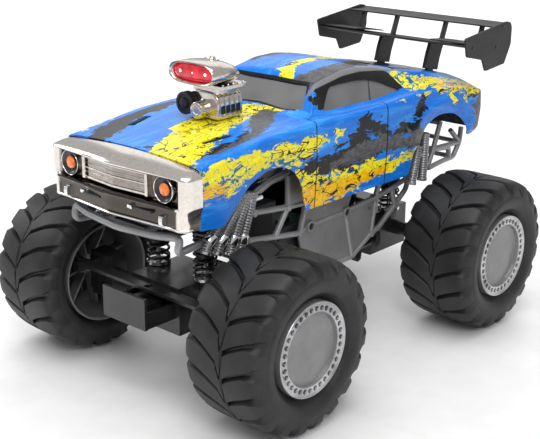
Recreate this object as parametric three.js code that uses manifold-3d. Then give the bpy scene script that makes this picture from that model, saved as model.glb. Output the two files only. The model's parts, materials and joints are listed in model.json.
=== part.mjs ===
// Toy monster truck with a muscle-car body, built as separate pieces.
// Millimetres, +Z up, nose towards -Y, the truck's own left side on +X.
// Lengths along Y start midway between the axles and heights start at the axle line;
// the last lines move the whole group so that its origin is the middle of its footprint.
import * as THREE from 'three';
import { mergeVertices } from 'three/addons/utils/BufferGeometryUtils.js';
import Module from 'manifold-3d';

const wasm = await Module();
wasm.setup();

// ---------- driving dimensions ----------
const wheelbase = 272;
const track = 234;              // between the middle planes of the left and right tyres
const tyreDiameter = 140;
const tyreWidth = 75;
const tyreWall = 4;
const rimFaceRadius = 38;       // rim edge seen from outside
const rimBarrelRadius = 44;     // wider barrel on the inner side
const rimHalfWidth = 34;
const rimWall = 3;
const stubRadius = 3.9;         // stub axle that turns with the rim
const shaftRadius = 3;
const gearRadius = 16;
const gearTeeth = 20;
const pinionTeeth = 8;
const gearWidth = 6;
const gearboxHalfWidth = 28;
const gearboxHalfHeight = 20.5;
const casingWall = 2;
const motorRadius = 12;
const kingpinX = 90;
const kingpinHeight = 15;       // half the height of a knuckle
const steerArm = 26;            // from the kingpin axis to the tie rod pin
const servoArm = 18;
const linkPivotY = 52;          // chassis pivots of the two link frames, from mid-wheelbase
const linkPivotZ = -3;
const shockX = 28;
const shockInset = 10;          // shocks stand this far inboard of the axle line
const shockTopZ = 70;
const rodRadius = 2;
const damperBore = 6.5;
const damperWall = 1.1;
const springWire = 2.4;
const bodyHalfWidth = 76;
const bodyWall = 1.8;
const bodyFrontY = -177;
const bodyRearY = 209;
const fasciaFrontY = -194.6;
const noseReach = 6.4;          // how far the middle of the nose stands ahead of its corners
const panFloorZ = 4;
const panWallZ = 50;
const frameX = 55;              // middle plane of a side frame
const panHalfWidth = frameX - 7; // the rings of the side frames stand against the pan
const frameBar = 2.4;           // radius of the side frame's bars
const wingHalfSpan = 88;
const wingPlate = 2;
const clearance = 0.4;          // between pieces that touch or slide

const axleZ = 0;
const frontAxleY = -wheelbase / 2;
const rearAxleY = wheelbase / 2;
const wheelX = track / 2;

// ---------- materials ----------
const finish = (color, roughness, metalness) => ({ color, roughness, metalness });
const bluePaint = finish(0x1478e0, 0.3, 0.1);
const nickel = finish(0xb9aea4, 0.22, 0.95);
const greyFrame = finish(0x8f9093, 0.45, 0.25);
const blackPlastic = finish(0x141416, 0.5, 0.05);
const darkPlastic = finish(0x232326, 0.55, 0.05);
const glazing = finish(0x6c6c6e, 0.35, 0.1);
const blackRubber = finish(0x1b1b1c, 0.85, 0);
const wheelGrey = finish(0x85868a, 0.45, 0.3);
const steel = finish(0xb4b6ba, 0.3, 0.95);
const orangeLens = finish(0xf07818, 0.2, 0);
const redLens = finish(0xd01018, 0.2, 0);
const blackPaint = finish(0x0d0d0e, 0.4, 0.1);
const greenBoard = finish(0x1d6b3a, 0.5, 0.1);
const packWrap = finish(0x2f5fa8, 0.5, 0);

const truck = new THREE.Group();

function piece(name, geometry, look) {
  const material = new THREE.MeshStandardMaterial(look);
  const mesh = new THREE.Mesh(geometry, material);
  mesh.name = name;
  truck.add(mesh);
  return mesh;
}

// ---------- solids ----------
function toManifold(geometry) {
  const bare = geometry.clone();
  bare.deleteAttribute('normal');
  bare.deleteAttribute('uv');
  const merged = mergeVertices(bare, 1e-4);
  return new wasm.Manifold(new wasm.Mesh({
    numProp: 3,
    vertProperties: new Float32Array(merged.attributes.position.array),
    triVerts: new Uint32Array(merged.index.array),
  }));
}

function toGeometry(solid) {
  const mesh = solid.getMesh();
  const geometry = new THREE.BufferGeometry();
  geometry.setAttribute('position', new THREE.BufferAttribute(new Float32Array(mesh.vertProperties), 3));
  geometry.setIndex(new THREE.BufferAttribute(new Uint32Array(mesh.triVerts), 1));
  return geometry;
}

function join(...geometries) {
  let sum = toManifold(geometries[0]);
  for (const next of geometries.slice(1)) {
    sum = sum.add(toManifold(next));
  }
  return toGeometry(sum);
}

function cut(base, ...tools) {
  let rest = toManifold(base);
  for (const tool of tools) {
    rest = rest.subtract(toManifold(tool));
  }
  return toGeometry(rest);
}

function block(x0, x1, y0, y1, z0, z1) {
  const box = new THREE.BoxGeometry(x1 - x0, y1 - y0, z1 - z0);
  return box.translate((x0 + x1) / 2, (y0 + y1) / 2, (z0 + z1) / 2);
}

// A round bar from one point to another; endRadius makes it a cone.
function rod(from, to, radius, sides = 8, endRadius = radius) {
  const start = new THREE.Vector3(...from);
  const end = new THREE.Vector3(...to);
  const along = end.clone().sub(start);
  const bar = new THREE.CylinderGeometry(endRadius, radius, along.length(), sides);
  const turn = new THREE.Quaternion().setFromUnitVectors(new THREE.Vector3(0, 1, 0), along.normalize());
  const middle = start.add(end).multiplyScalar(0.5);
  return bar.applyQuaternion(turn).translate(middle.x, middle.y, middle.z);
}

// A chain of bars through points; each bar runs a little past its bends.
function bars(points, radius, sides = 6) {
  const list = [];
  for (let i = 0; i + 1 < points.length; i += 1) {
    const start = new THREE.Vector3(...points[i]);
    const end = new THREE.Vector3(...points[i + 1]);
    const past = end.clone().sub(start).setLength(radius * 0.4);
    list.push(rod(start.sub(past).toArray(), end.add(past).toArray(), radius, sides));
  }
  return list;
}

// Outline of a flat bar that follows a line of (u, v) points, with mitred bends.
function strap(points, half) {
  const sides = points.map((point, i) => {
    const before = points[Math.max(i - 1, 0)];
    const after = points[Math.min(i + 1, points.length - 1)];
    const unit = (a, b) => {
      const length = Math.hypot(b[0] - a[0], b[1] - a[1]) || 1;
      return [(b[0] - a[0]) / length, (b[1] - a[1]) / length];
    };
    const entry = i === 0 ? unit(point, after) : unit(before, point);
    const exit = i === points.length - 1 ? unit(before, point) : unit(point, after);
    const normal = [-(entry[1] + exit[1]), entry[0] + exit[0]];
    const reach = 2 * half / Math.max(normal[0] ** 2 + normal[1] ** 2, 1);
    return [normal[0] * reach, normal[1] * reach];
  });
  const left = points.map(([u, v], i) => [u + sides[i][0], v + sides[i][1]]);
  const right = points.map(([u, v], i) => [u - sides[i][0], v - sides[i][1]]);
  return [...left, ...right.reverse()];
}

function outline(points) {
  return new THREE.Shape(points.map(([u, v]) => new THREE.Vector2(u, v)));
}

// Outline in (y, z), carried along X.
function plateX(points, x0, x1) {
  const solid = new THREE.ExtrudeGeometry(outline(points), { depth: x1 - x0, bevelEnabled: false });
  const axes = new THREE.Matrix4().set(0, 0, 1, x0, 1, 0, 0, 0, 0, 1, 0, 0, 0, 0, 0, 1);
  return solid.applyMatrix4(axes);
}

// Outline in (x, y), carried up Z.
function plateZ(points, z0, z1) {
  const solid = new THREE.ExtrudeGeometry(outline(points), { depth: z1 - z0, bevelEnabled: false });
  return solid.translate(0, 0, z0);
}

// Closed profile of (radius, x) points, turned round the X axis; outward is +X or -X.
function turned(profile, segments, outward, x, y, z) {
  const points = profile.map(([r, t]) => new THREE.Vector2(r, t)).reverse();
  const solid = new THREE.LatheGeometry(points, segments);
  solid.rotateZ(-Math.PI / 2);
  if (outward < 0) {
    solid.rotateZ(Math.PI);
  }
  return solid.translate(x, y, z);
}

// A tube round the Z axis, open at both ends.
function sleeve(inner, outer, z0, z1, x, y, segments = 10) {
  const profile = [[inner, z0], [outer, z0], [outer, z1], [inner, z1], [inner, z0]];
  const points = profile.map(([r, h]) => new THREE.Vector2(r, h));
  return new THREE.LatheGeometry(points, segments).rotateX(Math.PI / 2).translate(x, y, 0);
}

const mix = (a, b, t) => a + (b - a) * t;

// Straight-line interpolation through [position, value] stations.
function follow(stations, at) {
  if (at <= stations[0][0]) {
    return stations[0][1];
  }
  for (let i = 1; i < stations.length; i += 1) {
    const [here, value] = stations[i];
    if (at <= here) {
      const [before, previous] = stations[i - 1];
      return mix(previous, value, (at - before) / (here - before));
    }
  }
  return stations[stations.length - 1][1];
}

// Closed skin through equal rings of points; both ends are closed by the strip
// between the first half of a ring and its second half run backwards.
function loft(rings) {
  const count = rings[0].length;
  const positions = rings.flat(2);
  const faces = [];
  const at = (i, j) => i * count + (j % count);
  for (let i = 0; i + 1 < rings.length; i += 1) {
    for (let j = 0; j < count; j += 1) {
      faces.push(at(i, j), at(i + 1, j + 1), at(i, j + 1));
      faces.push(at(i, j), at(i + 1, j), at(i + 1, j + 1));
    }
  }
  const last = rings.length - 1;
  for (let j = 0; j + 1 < count / 2; j += 1) {
    const back = count - 1 - j;
    faces.push(at(0, j), at(0, back - 1), at(0, back), at(0, j), at(0, j + 1), at(0, back - 1));
    faces.push(at(last, j), at(last, back), at(last, back - 1));
    faces.push(at(last, j), at(last, back - 1), at(last, j + 1));
  }
  const skin = new THREE.BufferGeometry();
  skin.setAttribute('position', new THREE.BufferAttribute(new Float32Array(positions), 3));
  skin.setIndex(faces);
  return skin;
}

// ---------- car body ----------
// Lower edge of the body side, with both wheel arches.
const lowerEdge = [
  [-177, 86], [-152, 82.6], [-138, 97], [-124, 109.5], [-105, 117], [-88, 117.5], [-71, 109.5],
  [-62, 97], [-57, 73], [88, 72], [93, 83], [98, 97], [107, 117], [132, 121], [158, 119],
  [175, 108.7], [180, 101], [184.5, 91.5], [201, 94.6], [209, 97],
];
// Crease along the top of the body side.
const beltLine = [
  [-177, 133.5], [-101, 143], [-45, 145.5], [10, 144.3], [49, 144.3], [75, 146], [100, 147],
  [130, 146.5], [170, 142], [205, 134.5], [209, 132.5],
];
// Roof rail, running back into the rear deck.
const railLine = [
  [-45, 168], [-14, 169], [16, 175], [40, 175.5], [63, 172.5], [88, 167.5], [107, 161.5],
  [140, 156.5], [157, 153.5], [186, 148], [200, 143], [209, 137],
];
const railX = 50;
const glassFootX = [[60, 66.5], [130, 74]];
const hoodCrown = [[-177, 3.5], [-100, 1.8], [-45, 1.2], [209, 1.2]];
const roofCrown = 1.5;
const cowlY = -35;
const cowlSweep = 10;
const cowlX = 59;
const screenSlope = 1.03;
const screenFootZ = 143;

const beltX = (y) => bodyHalfWidth - 3 * Math.max(0, (y - 190) / 19) ** 2;

// Height of the hood or deck at a distance x from the middle.
function deckHeight(x, y) {
  return follow(beltLine, y) + follow(hoodCrown, y) * (1 - (x / bodyHalfWidth) ** 2);
}

function screenHeight(x, y) {
  return screenFootZ + (y - cowlY + cowlSweep * (x / cowlX) ** 2) * screenSlope;
}

// Height of the outer skin: hood or deck, and the roof and windscreen where they stand above it.
function skinHeight(x, y) {
  const roof = follow(railLine, y) + roofCrown * (1 - (x / railX) ** 2);
  return Math.max(deckHeight(x, y), Math.min(roof, screenHeight(x, y)));
}

// Half of the section at y, from the lower edge up to the middle of the roof.
function halfSection(y) {
  const low = follow(lowerEdge, y);
  const belt = follow(beltLine, y);
  const rail = follow(railLine, y);
  const foot = Math.min(follow(glassFootX, y), beltX(y) - 3);
  const footZ = deckHeight(foot, y);
  const corner = Math.max(footZ + 0.4, Math.min(rail, screenHeight(cowlX - 6, y)));
  const cornerX = foot - (corner - footZ) * (foot - railX) / Math.max(rail - footZ, 8);
  const inner = Math.min(cornerX * 0.55, 30);
  return [
    [beltX(y) - 1, low],
    [beltX(y) + 1, mix(low, belt, 0.5)],
    [beltX(y), belt],
    [foot, footZ],
    [cornerX, Math.max(skinHeight(cornerX, y), footZ + 0.2)],
    [inner, skinHeight(inner, y)],
    [0, skinHeight(0, y)],
  ];
}

// The half section moved inwards by a distance, square to its own outline.
function inset(points, distance) {
  return points.map((point, i) => {
    if (i === points.length - 1) {
      return [0, point[1] - distance];
    }
    if (i === 0) {
      return [point[0] - distance, point[1]];
    }
    const before = points[i - 1];
    const after = points[i + 1];
    const dx = after[0] - before[0];
    const dz = after[1] - before[1];
    const length = Math.hypot(dx, dz);
    return [point[0] - distance * dz / length, point[1] + distance * dx / length];
  });
}

// Ring of a wall that follows the body, from the point numbered `from` of its half section up.
function shellRing(y, outer, thickness, from = 0) {
  const outside = inset(halfSection(y), outer).slice(from);
  const inside = inset(halfSection(y), outer + thickness).slice(from);
  const mirrored = (half) => half.slice(0, -1).reverse().map(([x, z]) => [-x, z]);
  const over = [...outside, ...mirrored(outside)];
  const under = [...inside, ...mirrored(inside)].reverse();
  return [...over, ...under].map(([x, z]) => [x, y, z]);
}

const bodyStations = [
  -177, -165, -152, -138, -124, -105, -88, -71, -62, -57, -45, -38, -30, -20, -13, 0, 16, 40, 63,
  80, 88, 98, 107, 132, 158, 175, 180, 184.5, 200, 209,
];
const shellLoft = loft(bodyStations.map((y) => shellRing(y, 0, bodyWall)));

const sideWindow = [
  [-24, 148], [-4, 164.6], [8, 165.4], [30, 165.4], [46, 164], [63, 159.6], [84, 150], [50, 147.5],
];
const windscreen = [[-54, -38], [0, -30], [54, -38], [41, -16], [0, -13], [-41, -16]];
const rearWindow = [[-38, 66], [38, 66], [34, 120], [-34, 120]];
const windowTool = (side) => plateX(sideWindow, side > 0 ? 52 : -80, side > 0 ? 80 : -52);
const glassTop = 190;
const glassBottom = 138;
const rearPanelWall = 2;

function rearPanel() {
  const half = inset(halfSection(bodyRearY), 0.6);
  const ring = [...half, ...half.slice(0, -1).reverse().map(([x, z]) => [-x, z])];
  const solid = new THREE.ExtrudeGeometry(outline(ring), { depth: rearPanelWall, bevelEnabled: false });
  return solid.rotateX(Math.PI / 2).translate(0, bodyRearY - 0.5, 0);
}

const blowerY = -88;
const hoodHole = rod([0, blowerY, 120], [0, blowerY, 160], 9, 12);
const strutX = 29;
const strutHalf = 1.8;
const strutSlot = (x) => block(x - strutHalf - clearance, x + strutHalf + clearance, 172, 196, 138, 160);
piece('body_shell', cut(
  join(shellLoft, rearPanel()),
  strutSlot(strutX),
  strutSlot(-strutX),
  windowTool(1),
  windowTool(-1),
  plateZ(windscreen, glassBottom, glassTop),
  plateZ(rearWindow, glassBottom, glassTop),
  hoodHole,
), bluePaint);

const glassWall = 1.2;
const glassGap = 1;
const glassStations = bodyStations.filter((y) => y > -31 && y < 120);
const glassFoot = 3;
const glassRings = glassStations.map((y) => shellRing(y, bodyWall + glassGap, glassWall, glassFoot));
const shellSpace = loft(bodyStations.map((y) => shellRing(y, 0, bodyWall + clearance)));
piece('window_insert', cut(loft(glassRings), shellSpace), glazing);

// ---------- nose ----------
const noseY = (x) => fasciaFrontY - noseReach * (1 - Math.abs(x) / bodyHalfWidth);
const fasciaBackY = bodyFrontY - clearance;
const fasciaTopZ = 130.8;
const fasciaLowZ = 88.5;
const lipZ = 104.8;
const fasciaColumns = [-76, -53, -33, 0, 33, 53, 76];

function fasciaSkin() {
  const rings = fasciaColumns.map((x) => {
    const front = noseY(x);
    const crown = deckHeight(x, bodyFrontY) - 0.5;
    return [
      [x, front + 1.6, fasciaLowZ],
      [x, front - 1, lipZ],
      [x, front + 1.5, lipZ + 2],
      [x, front, fasciaTopZ],
      [x, fasciaBackY, crown],
      [x, fasciaBackY, fasciaLowZ + 1],
    ];
  });
  return loft(rings);
}

const headlightX = 53.9;
const headlightZ = 115.6;
const headlightRadius = 10;
const headlightY = noseY(headlightX);
const grilleHalf = 33;
const grilleDepth = 5;
const fasciaShell = 2.5;

function grilleRecess() {
  return plateZ([
    [-grilleHalf, noseY(grilleHalf) - 2], [0, noseY(0) - 4], [grilleHalf, noseY(grilleHalf) - 2],
    [grilleHalf, noseY(grilleHalf) + grilleDepth], [0, noseY(0) + grilleDepth],
    [-grilleHalf, noseY(grilleHalf) + grilleDepth],
  ], 111, 125);
}

function lampHole(side) {
  const x = side * headlightX;
  const radius = headlightRadius + clearance;
  return rod([x, headlightY - 6, headlightZ], [x, headlightY + 7, headlightZ], radius, 16);
}

const fasciaHollow = plateZ([
  [-bodyHalfWidth + fasciaShell, fasciaBackY + 1], [-bodyHalfWidth + fasciaShell, fasciaFrontY + 9.5],
  [0, noseY(0) + 9.5], [bodyHalfWidth - fasciaShell, fasciaFrontY + 9.5],
  [bodyHalfWidth - fasciaShell, fasciaBackY + 1],
].reverse(), fasciaLowZ - 2, fasciaTopZ - 4);
const bumperette = (side) => block(side * 53 - 2, side * 53 + 2, noseY(53) - 3, noseY(53) + 1.5, 90, 99);
piece('grille_fascia', cut(
  join(cut(fasciaSkin(), grilleRecess()), bumperette(1), bumperette(-1)),
  fasciaHollow,
  lampHole(1),
  lampHole(-1),
), nickel);

for (const [name, side] of [['headlight_left', 1], ['headlight_right', -1]]) {
  const x = side * headlightX;
  const bowl = rod([x, headlightY - 1, headlightZ], [x, headlightY + 6, headlightZ], headlightRadius, 16);
  const lens = rod([x, headlightY - 2.6, headlightZ], [x, headlightY, headlightZ], 5.6, 16, 6);
  piece(name, join(bowl, lens), orangeLens);
}

const tailLampZ = 118;
piece('tail_light_panel', block(
  -60, 60, bodyRearY + clearance, bodyRearY + 3, tailLampZ - 6, tailLampZ + 6,
), redLens);

// ---------- blower on the hood ----------
const caseHalf = 18;
const caseFront = -99;
const caseRear = -70;
const caseZ = 153;              // underside of the case
const caseHeight = 15;
const blowerTrayHalf = 22;
const trayPlate = 3;
const hoodTopZ = deckHeight(0, caseRear) + clearance;
const trayZ = 174;
const blowerFoot = block(-15, 15, caseFront + 2, caseRear - 2, hoodTopZ, caseZ + 1);
const blowerBody = block(-caseHalf, caseHalf, caseFront, caseRear, caseZ, caseZ + caseHeight);
const blowerNeck = block(-14, 14, caseFront + 2, caseRear - 1, caseZ + caseHeight - 1, trayZ - 2);
const blowerTray = block(-blowerTrayHalf, blowerTrayHalf, caseFront, caseRear + 1, trayZ - trayPlate, trayZ);
const snoutX = 2;
const snoutZ = caseZ + 0.6;
const snoutLength = 10;
const snout = rod([snoutX, caseFront + 2, snoutZ], [snoutX, caseFront - snoutLength, snoutZ], 7, 12);
piece('blower_case', join(blowerFoot, blowerBody, blowerNeck, blowerTray, snout), nickel);

const pulleyX = snoutX - 17;
const pulleyY = caseFront - clearance;
const pulleyZ = snoutZ + 3;
piece('blower_pulley', join(
  rod([pulleyX, pulleyY, pulleyZ], [pulleyX, pulleyY - 6, pulleyZ], 9.5, 20),
  rod([pulleyX, pulleyY - 5, pulleyZ], [pulleyX, pulleyY - 7.5, pulleyZ], 4, 12),
), blackPlastic);

const scoopHalf = 25.5;
const scoopFoot = trayZ + clearance;
const scoopProfile = [
  [-108, 175], [-112, 178], [-112.5, 188], [-109, 192.5], [-94, 193], [-78, 190], [-71, 184],
  [-71, scoopFoot], [-99, scoopFoot],
];
const lensHalf = 22.5;
const lensFront = -113;
const lensInner = 8;
const [lensLow, lensHigh] = [177, 190.5];
piece('scoop_hat', cut(
  join(plateX(scoopProfile, -scoopHalf, scoopHalf), rod([0, blowerY, 192], [0, blowerY, 195.5], 2.5, 10)),
  block(-lensHalf, lensHalf, lensFront - 1, lensFront + lensInner, lensLow, lensHigh),
), nickel);
piece('scoop_lens', block(
  -lensHalf + clearance, lensHalf - clearance,
  lensFront - 0.8, lensFront + lensInner - clearance,
  lensLow + clearance, lensHigh - clearance,
), redLens);

// ---------- rear wing ----------
const endPlate = [
  [151, 190], [223, 198.5], [230, 197], [233, 192], [233, 175.7], [222.9, 158], [189, 155.1],
  [183, 166.5], [155.2, 172.6],
];
const lowerWing = [
  [155, 181], [165, 179.5], [180, 177], [195, 174.5], [207, 173],
  [207, 175], [195, 176.8], [180, 179.3], [165, 181.8], [155, 183.2],
];
const upperWing = [[201, 194.2], [216, 193], [229, 194.2], [231, 196.2], [216, 195.2], [201, 196.4]];
const wingInner = wingHalfSpan - wingPlate;
const upright = (x) => rod([x, 203, 173.5], [x, 206, 195], 1.8, 8);
piece('rear_wing', join(
  plateX(endPlate, wingInner, wingHalfSpan),
  plateX(endPlate, -wingHalfSpan, -wingInner),
  plateX(lowerWing, -wingInner - 0.5, wingInner + 0.5),
  plateX(upperWing, -wingInner - 0.5, wingInner + 0.5),
  upright(strutX),
  upright(-strutX),
  upright(70),
  upright(-70),
), blackPlastic);

const strutOutline = [[173, 152.6], [195, 148.2], [198, 160], [203.5, 172.8], [181, 176.2], [176.5, 165]];
const mountBar = block(-strutX, strutX, 178, 186, 143.4, 146.8);
const strutFootOutline = [[178, 144], [186, 144], [188, 151], [178, 153]];
const strutFoot = (x) => plateX(strutFootOutline, x - strutHalf, x + strutHalf);
piece('wing_mount', join(
  plateX(strutOutline, strutX - strutHalf, strutX + strutHalf),
  plateX(strutOutline, -strutX - strutHalf, -strutX + strutHalf),
  strutFoot(strutX),
  strutFoot(-strutX),
  mountBar,
), blackPlastic);

// ---------- chassis tub ----------
const tubFront = -58;
const tubRear = 60;
const deckZ = shockTopZ + clearance;
const deckPlate = 3;
const deckHalf = panHalfWidth - 8;
const deckReach = 176;          // the upper decks reach this far from mid-wheelbase
const lugX = panHalfWidth - 1.5;
const lugHalf = 2.5;
const pivotPin = 2.5;
const doorHalfX = panHalfWidth - 18;
const doorHalfY = 26;
const doorWall = 2;
const switchY = 40;
const switchTravel = 6.8;
const boardPostX = doorHalfX + 3;
const boardHalf = boardPostX + 4;
const boardPostY = 18;
const boardZ = panFloorZ + 28;
const floorWall = 3;

function upperDeck(end) {
  const near = end * 54;
  const far = end * deckReach;
  const [front, rear] = [Math.min(near, far), Math.max(near, far)];
  const wallNear = Math.min(near, near + end * 4);
  const postY = end * (deckReach - 26);
  const postTop = skinHeight(28, postY) - bodyWall - 2 * clearance;
  const post = (x) => rod([x, postY, deckZ + 1], [x, postY, postTop], 4, 8);
  return [
    block(-deckHalf, deckHalf, front, rear, deckZ, deckZ + deckPlate),
    block(-deckHalf, deckHalf, wallNear, wallNear + 4, panWallZ - 8, deckZ + 1),
    post(24),
    post(-24),
  ];
}

function pivotLug(x, y) {
  const ear = plateX([
    [y - 6, panFloorZ + 1], [y - 4, linkPivotZ - 4], [y, linkPivotZ - 6], [y + 4, linkPivotZ - 4],
    [y + 6, panFloorZ + 1],
  ], x - lugHalf, x + lugHalf);
  return cut(ear, rod([x - 5, y, linkPivotZ], [x + 5, y, linkPivotZ], pivotPin + clearance, 12));
}

const tubOutside = plateX([
  [tubFront, panWallZ], [tubFront, panFloorZ + 14], [tubFront + 10, panFloorZ], [tubRear - 10, panFloorZ],
  [tubRear, panFloorZ + 14], [tubRear, panWallZ],
], -panHalfWidth, panHalfWidth);
const tubInside = plateX([
  [tubFront + 3, panWallZ + 1], [tubFront + 3, panFloorZ + 15], [tubFront + 12, panFloorZ + 3],
  [tubRear - 12, panFloorZ + 3], [tubRear - 3, panFloorZ + 15], [tubRear - 3, panWallZ + 1],
], -panHalfWidth + 2.5, panHalfWidth - 2.5);
const doorOpening = block(-doorHalfX, doorHalfX, -doorHalfY, doorHalfY, panFloorZ - 1, panFloorZ + 4);
const slotHalf = 3.6 + switchTravel / 2;
const switchSlot = block(-slotHalf, slotHalf, switchY - 3, switchY + 3, panFloorZ - 1, panFloorZ + 4);
const lugs = [];
for (const y of [-linkPivotY, linkPivotY]) {
  lugs.push(pivotLug(lugX, y), pivotLug(-lugX, y));
}
piece('chassis_pan', join(
  cut(tubOutside, tubInside, doorOpening, switchSlot),
  ...upperDeck(-1),
  ...upperDeck(1),
  ...lugs,
  ...[[1, 1], [1, -1], [-1, 1], [-1, -1]].map(([i, j]) => rod(
    [i * boardPostX, j * boardPostY, panFloorZ + 2],
    [i * boardPostX, j * boardPostY, boardZ - clearance],
    2.5,
    6,
  )),
), darkPlastic);

piece('battery_door', block(
  -doorHalfX + clearance, doorHalfX - clearance, -doorHalfY + clearance, doorHalfY - clearance,
  panFloorZ, panFloorZ + doorWall,
), darkPlastic);
const packHalf = doorHalfX - 3;
piece('battery_pack', join(
  block(-packHalf, packHalf, -29, 29, panFloorZ + floorWall + clearance, panFloorZ + 21),
  block(-8, 8, -33, -28, panFloorZ + 8, panFloorZ + 16),
), packWrap);
piece('circuit_board', join(
  block(-boardHalf, boardHalf, -24, 24, boardZ, boardZ + 1.6),
  block(-10, 6, -12, 4, boardZ + 1, boardZ + 5),
  rod([18, 12, boardZ + 1], [18, 12, boardZ + 10], 4, 8),
), greenBoard);
const switchThumb = 3;
const switchX = -switchTravel / 2;
piece('power_switch', join(
  block(
    switchX - switchThumb, switchX + switchThumb,
    switchY - 2.5, switchY + 2.5,
    panFloorZ - 2, panFloorZ + 4,
  ),
  block(
    switchX - 5.5, switchX + 5.5,
    switchY - 5, switchY + 5,
    panFloorZ + floorWall + clearance, panFloorZ + 5.4,
  ),
), steel);

// ---------- tube-look frames ----------
const framePlate = 2;
const ringFront = [-29, 48.5];
const ringRear = [21, 49];
const ringRadius = 5;

const frameRails = [
  [
    [-104, 54.5], [-43, 44.7], ringFront, ringRear, [64, 51.6], [76, 52.5], [111, 58.5], [118, 58.8],
    [114.5, 49], [99.4, 38.5], [72.6, 21], [61, 18.5], [33, 3], [13, 3.5], [-34, 12],
  ],
  [[-98, 76.5], [-56, 71.5], [-32, 70]],
  [[-56, 99], [-56, 71.5], [-73, 47.5]],
  [[-41, 42.5], [-32, 72]],
  [ringRear, [33, 3]],
  [[66.5, 51.8], [61, 18.5]],
  [[91.6, 54], [97, 39]],
  [[66.6, 52], [76, 76]],
  [[113, 58.5], [130, 104]],
];
const framePlates = [
  [[-41, 43], [-32, 72], [-34, 80], [38, 80], [24, 50], [-29, 48.5]],
  [[-43, 44.7], [-29, 48.5], [21, 49], [64, 51.6], [66, 50], [61, 18.5], [33, 3], [13, 3.5], [-34, 12]],
  [[-56, 72], [-56, 99], [-46, 97.5], [-38, 91], [-32, 76], [-32, 71]],
  [[-97, 96], [-77, 102.5], [-56, 105], [-56, 99], [-78, 95.5], [-97, 88]],
];

const archRail = [[-100, 76], [-97, 92], [-78, 99], [-56, 102]];

function sideFrame(side) {
  const middle = side * frameX;
  const half = framePlate / 2;
  const plates = framePlates.map((points) => plateX(points, middle - half, middle + half));
  const rails = [...frameRails, archRail].map((points) => (
    plateX(strap(points, frameBar), middle - frameBar, middle + frameBar)
  ));
  const ring = ([y, z]) => rod(
    [side * (panHalfWidth + clearance), y, z], [side * (frameX + 4), y, z], ringRadius, 10,
  );
  const bore = ([y, z]) => rod([side * (frameX + 2), y, z], [side * (frameX + 5), y, z], ringRadius - 2, 8);
  return cut(join(...plates, ...rails, ring(ringFront), ring(ringRear)), bore(ringFront), bore(ringRear));
}

piece('side_frame_left', sideFrame(1), greyFrame);
piece('side_frame_right', sideFrame(-1), greyFrame);

const barHalf = 62;
const barEnd = 54;           // the tube's ends pass inside the side stacks
const barRadius = 3;
const bumperTube = [
  [barEnd, -150, 66], [barHalf - 2, -187, 67], [barHalf - 1, -184, 79], [40, -189, 77],
  [0, -193, 76], [-40, -189, 77], [-barHalf + 1, -184, 79], [-barHalf + 2, -187, 67],
  [-barEnd, -150, 66],
];
const postFootZ = deckZ + deckPlate + clearance + 2.5;
const bumperPost = (x) => rod([x, -191, 76.5], [x, -168.5, postFootZ], 2.2, 6);
piece('front_bumper_bar', join(
  ...bars(bumperTube, barRadius),
  bumperPost(24),
  bumperPost(-24),
  block(-28, 28, -172, -166, deckZ + deckPlate + clearance, deckZ + deckPlate + 4),
), greyFrame);

const cageRails = [
  [[168, 105], [158, 79.5], [149, 61.6], [174, 64], [194, 64.6], [204, 78], [206, 93]],
  [[158, 79.5], [204, 78]],
  [[158, 79.5], [185, 76], [186, 65]],
  [[186.5, 93], [204, 78]],
];
const cageCrossbars = [[204, 78], [158, 79.5], [194, 64.6], [168, 103.5]];

function rearCage() {
  const solids = [];
  for (const middle of [frameX, -frameX]) {
    for (const points of cageRails) {
      solids.push(plateX(strap(points, frameBar), middle - frameBar, middle + frameBar));
    }
  }
  for (const [y, z] of cageCrossbars) {
    solids.push(rod([-frameX, y, z], [frameX, y, z], frameBar - 0.2, 6));
  }
  solids.push(block(-20, 20, 156, 160, deckZ + deckPlate + clearance, 79));
  return join(...solids);
}
piece('rear_cage', rearCage(), greyFrame);

// ---------- ribbed side stacks ----------
const stackX = 63;
const stackRadius = 3.6;
const frontStack = [
  { top: [-122, 97], collar: [-155, 71], tip: [-161, 60] },
  { top: [-117, 98], collar: [-142.5, 67.5], tip: [-148, 56] },
  { top: [-112, 99], collar: [-130, 64], tip: [-134, 52] },
  { top: [-106, 98], collar: [-119, 62], tip: [-123, 51] },
];
function frontStacks(side) {
  const x = side * stackX;
  const solids = [
    rod([x, -126, 92], [x, -98, 92], 2.5, 6),
    rod([x, -99, 92], [side * (frameX + frameBar + clearance), -99, 92], 2.2, 6),
  ];
  for (const { top, collar, tip } of frontStack) {
    solids.push(rod([x, ...top], [x, ...collar], stackRadius, 6));
    const [y, z] = collar;
    solids.push(rod([x, y + 1, z + 4], [x, y - 1.6, z - 4], stackRadius + 1, 6));
    solids.push(rod([x, ...collar], [x, ...tip], stackRadius, 6));
  }
  return join(...solids);
}
const rearStack = [
  { foot: [104, 58.6], top: [112.5, 94.6] },
  { foot: [121.5, 59], top: [123, 104.4] },
];
function rearStacks(side) {
  const x = side * (stackX + 5);
  const solids = [
    rod([x, 108, 84], [x, 124, 84], 2.5, 6),
    rod([x, 121, 84], [side * (frameX + frameBar + clearance), 121, 84], 2.2, 6),
  ];
  for (const { foot, top } of rearStack) {
    solids.push(rod([x, ...foot], [x, ...top], stackRadius + 0.9, 8));
  }
  return join(...solids);
}
for (const [name, side] of [['left', 1], ['right', -1]]) {
  piece(`front_stacks_${name}`, frontStacks(side), greyFrame);
  piece(`rear_stacks_${name}`, rearStacks(side), greyFrame);
}

// ---------- axles ----------
const tubeRadius = 7;
const tubeBore = 4.6;
const perchZ = 21;
const pinionOffset = gearRadius * (1 + pinionTeeth / gearTeeth);
const gearX = -17;
const boxBack = 37;             // inboard end of a gearbox, from its axle line
const boxFront = 20;
const noseFront = 54;
const noseFloorZ = -6;
const rollPin = 4;
const hubArmIn = 15.5;
const hubArmOut = 20;
const rearTubeEnd = 106;
const trayHalf = 24;

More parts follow.
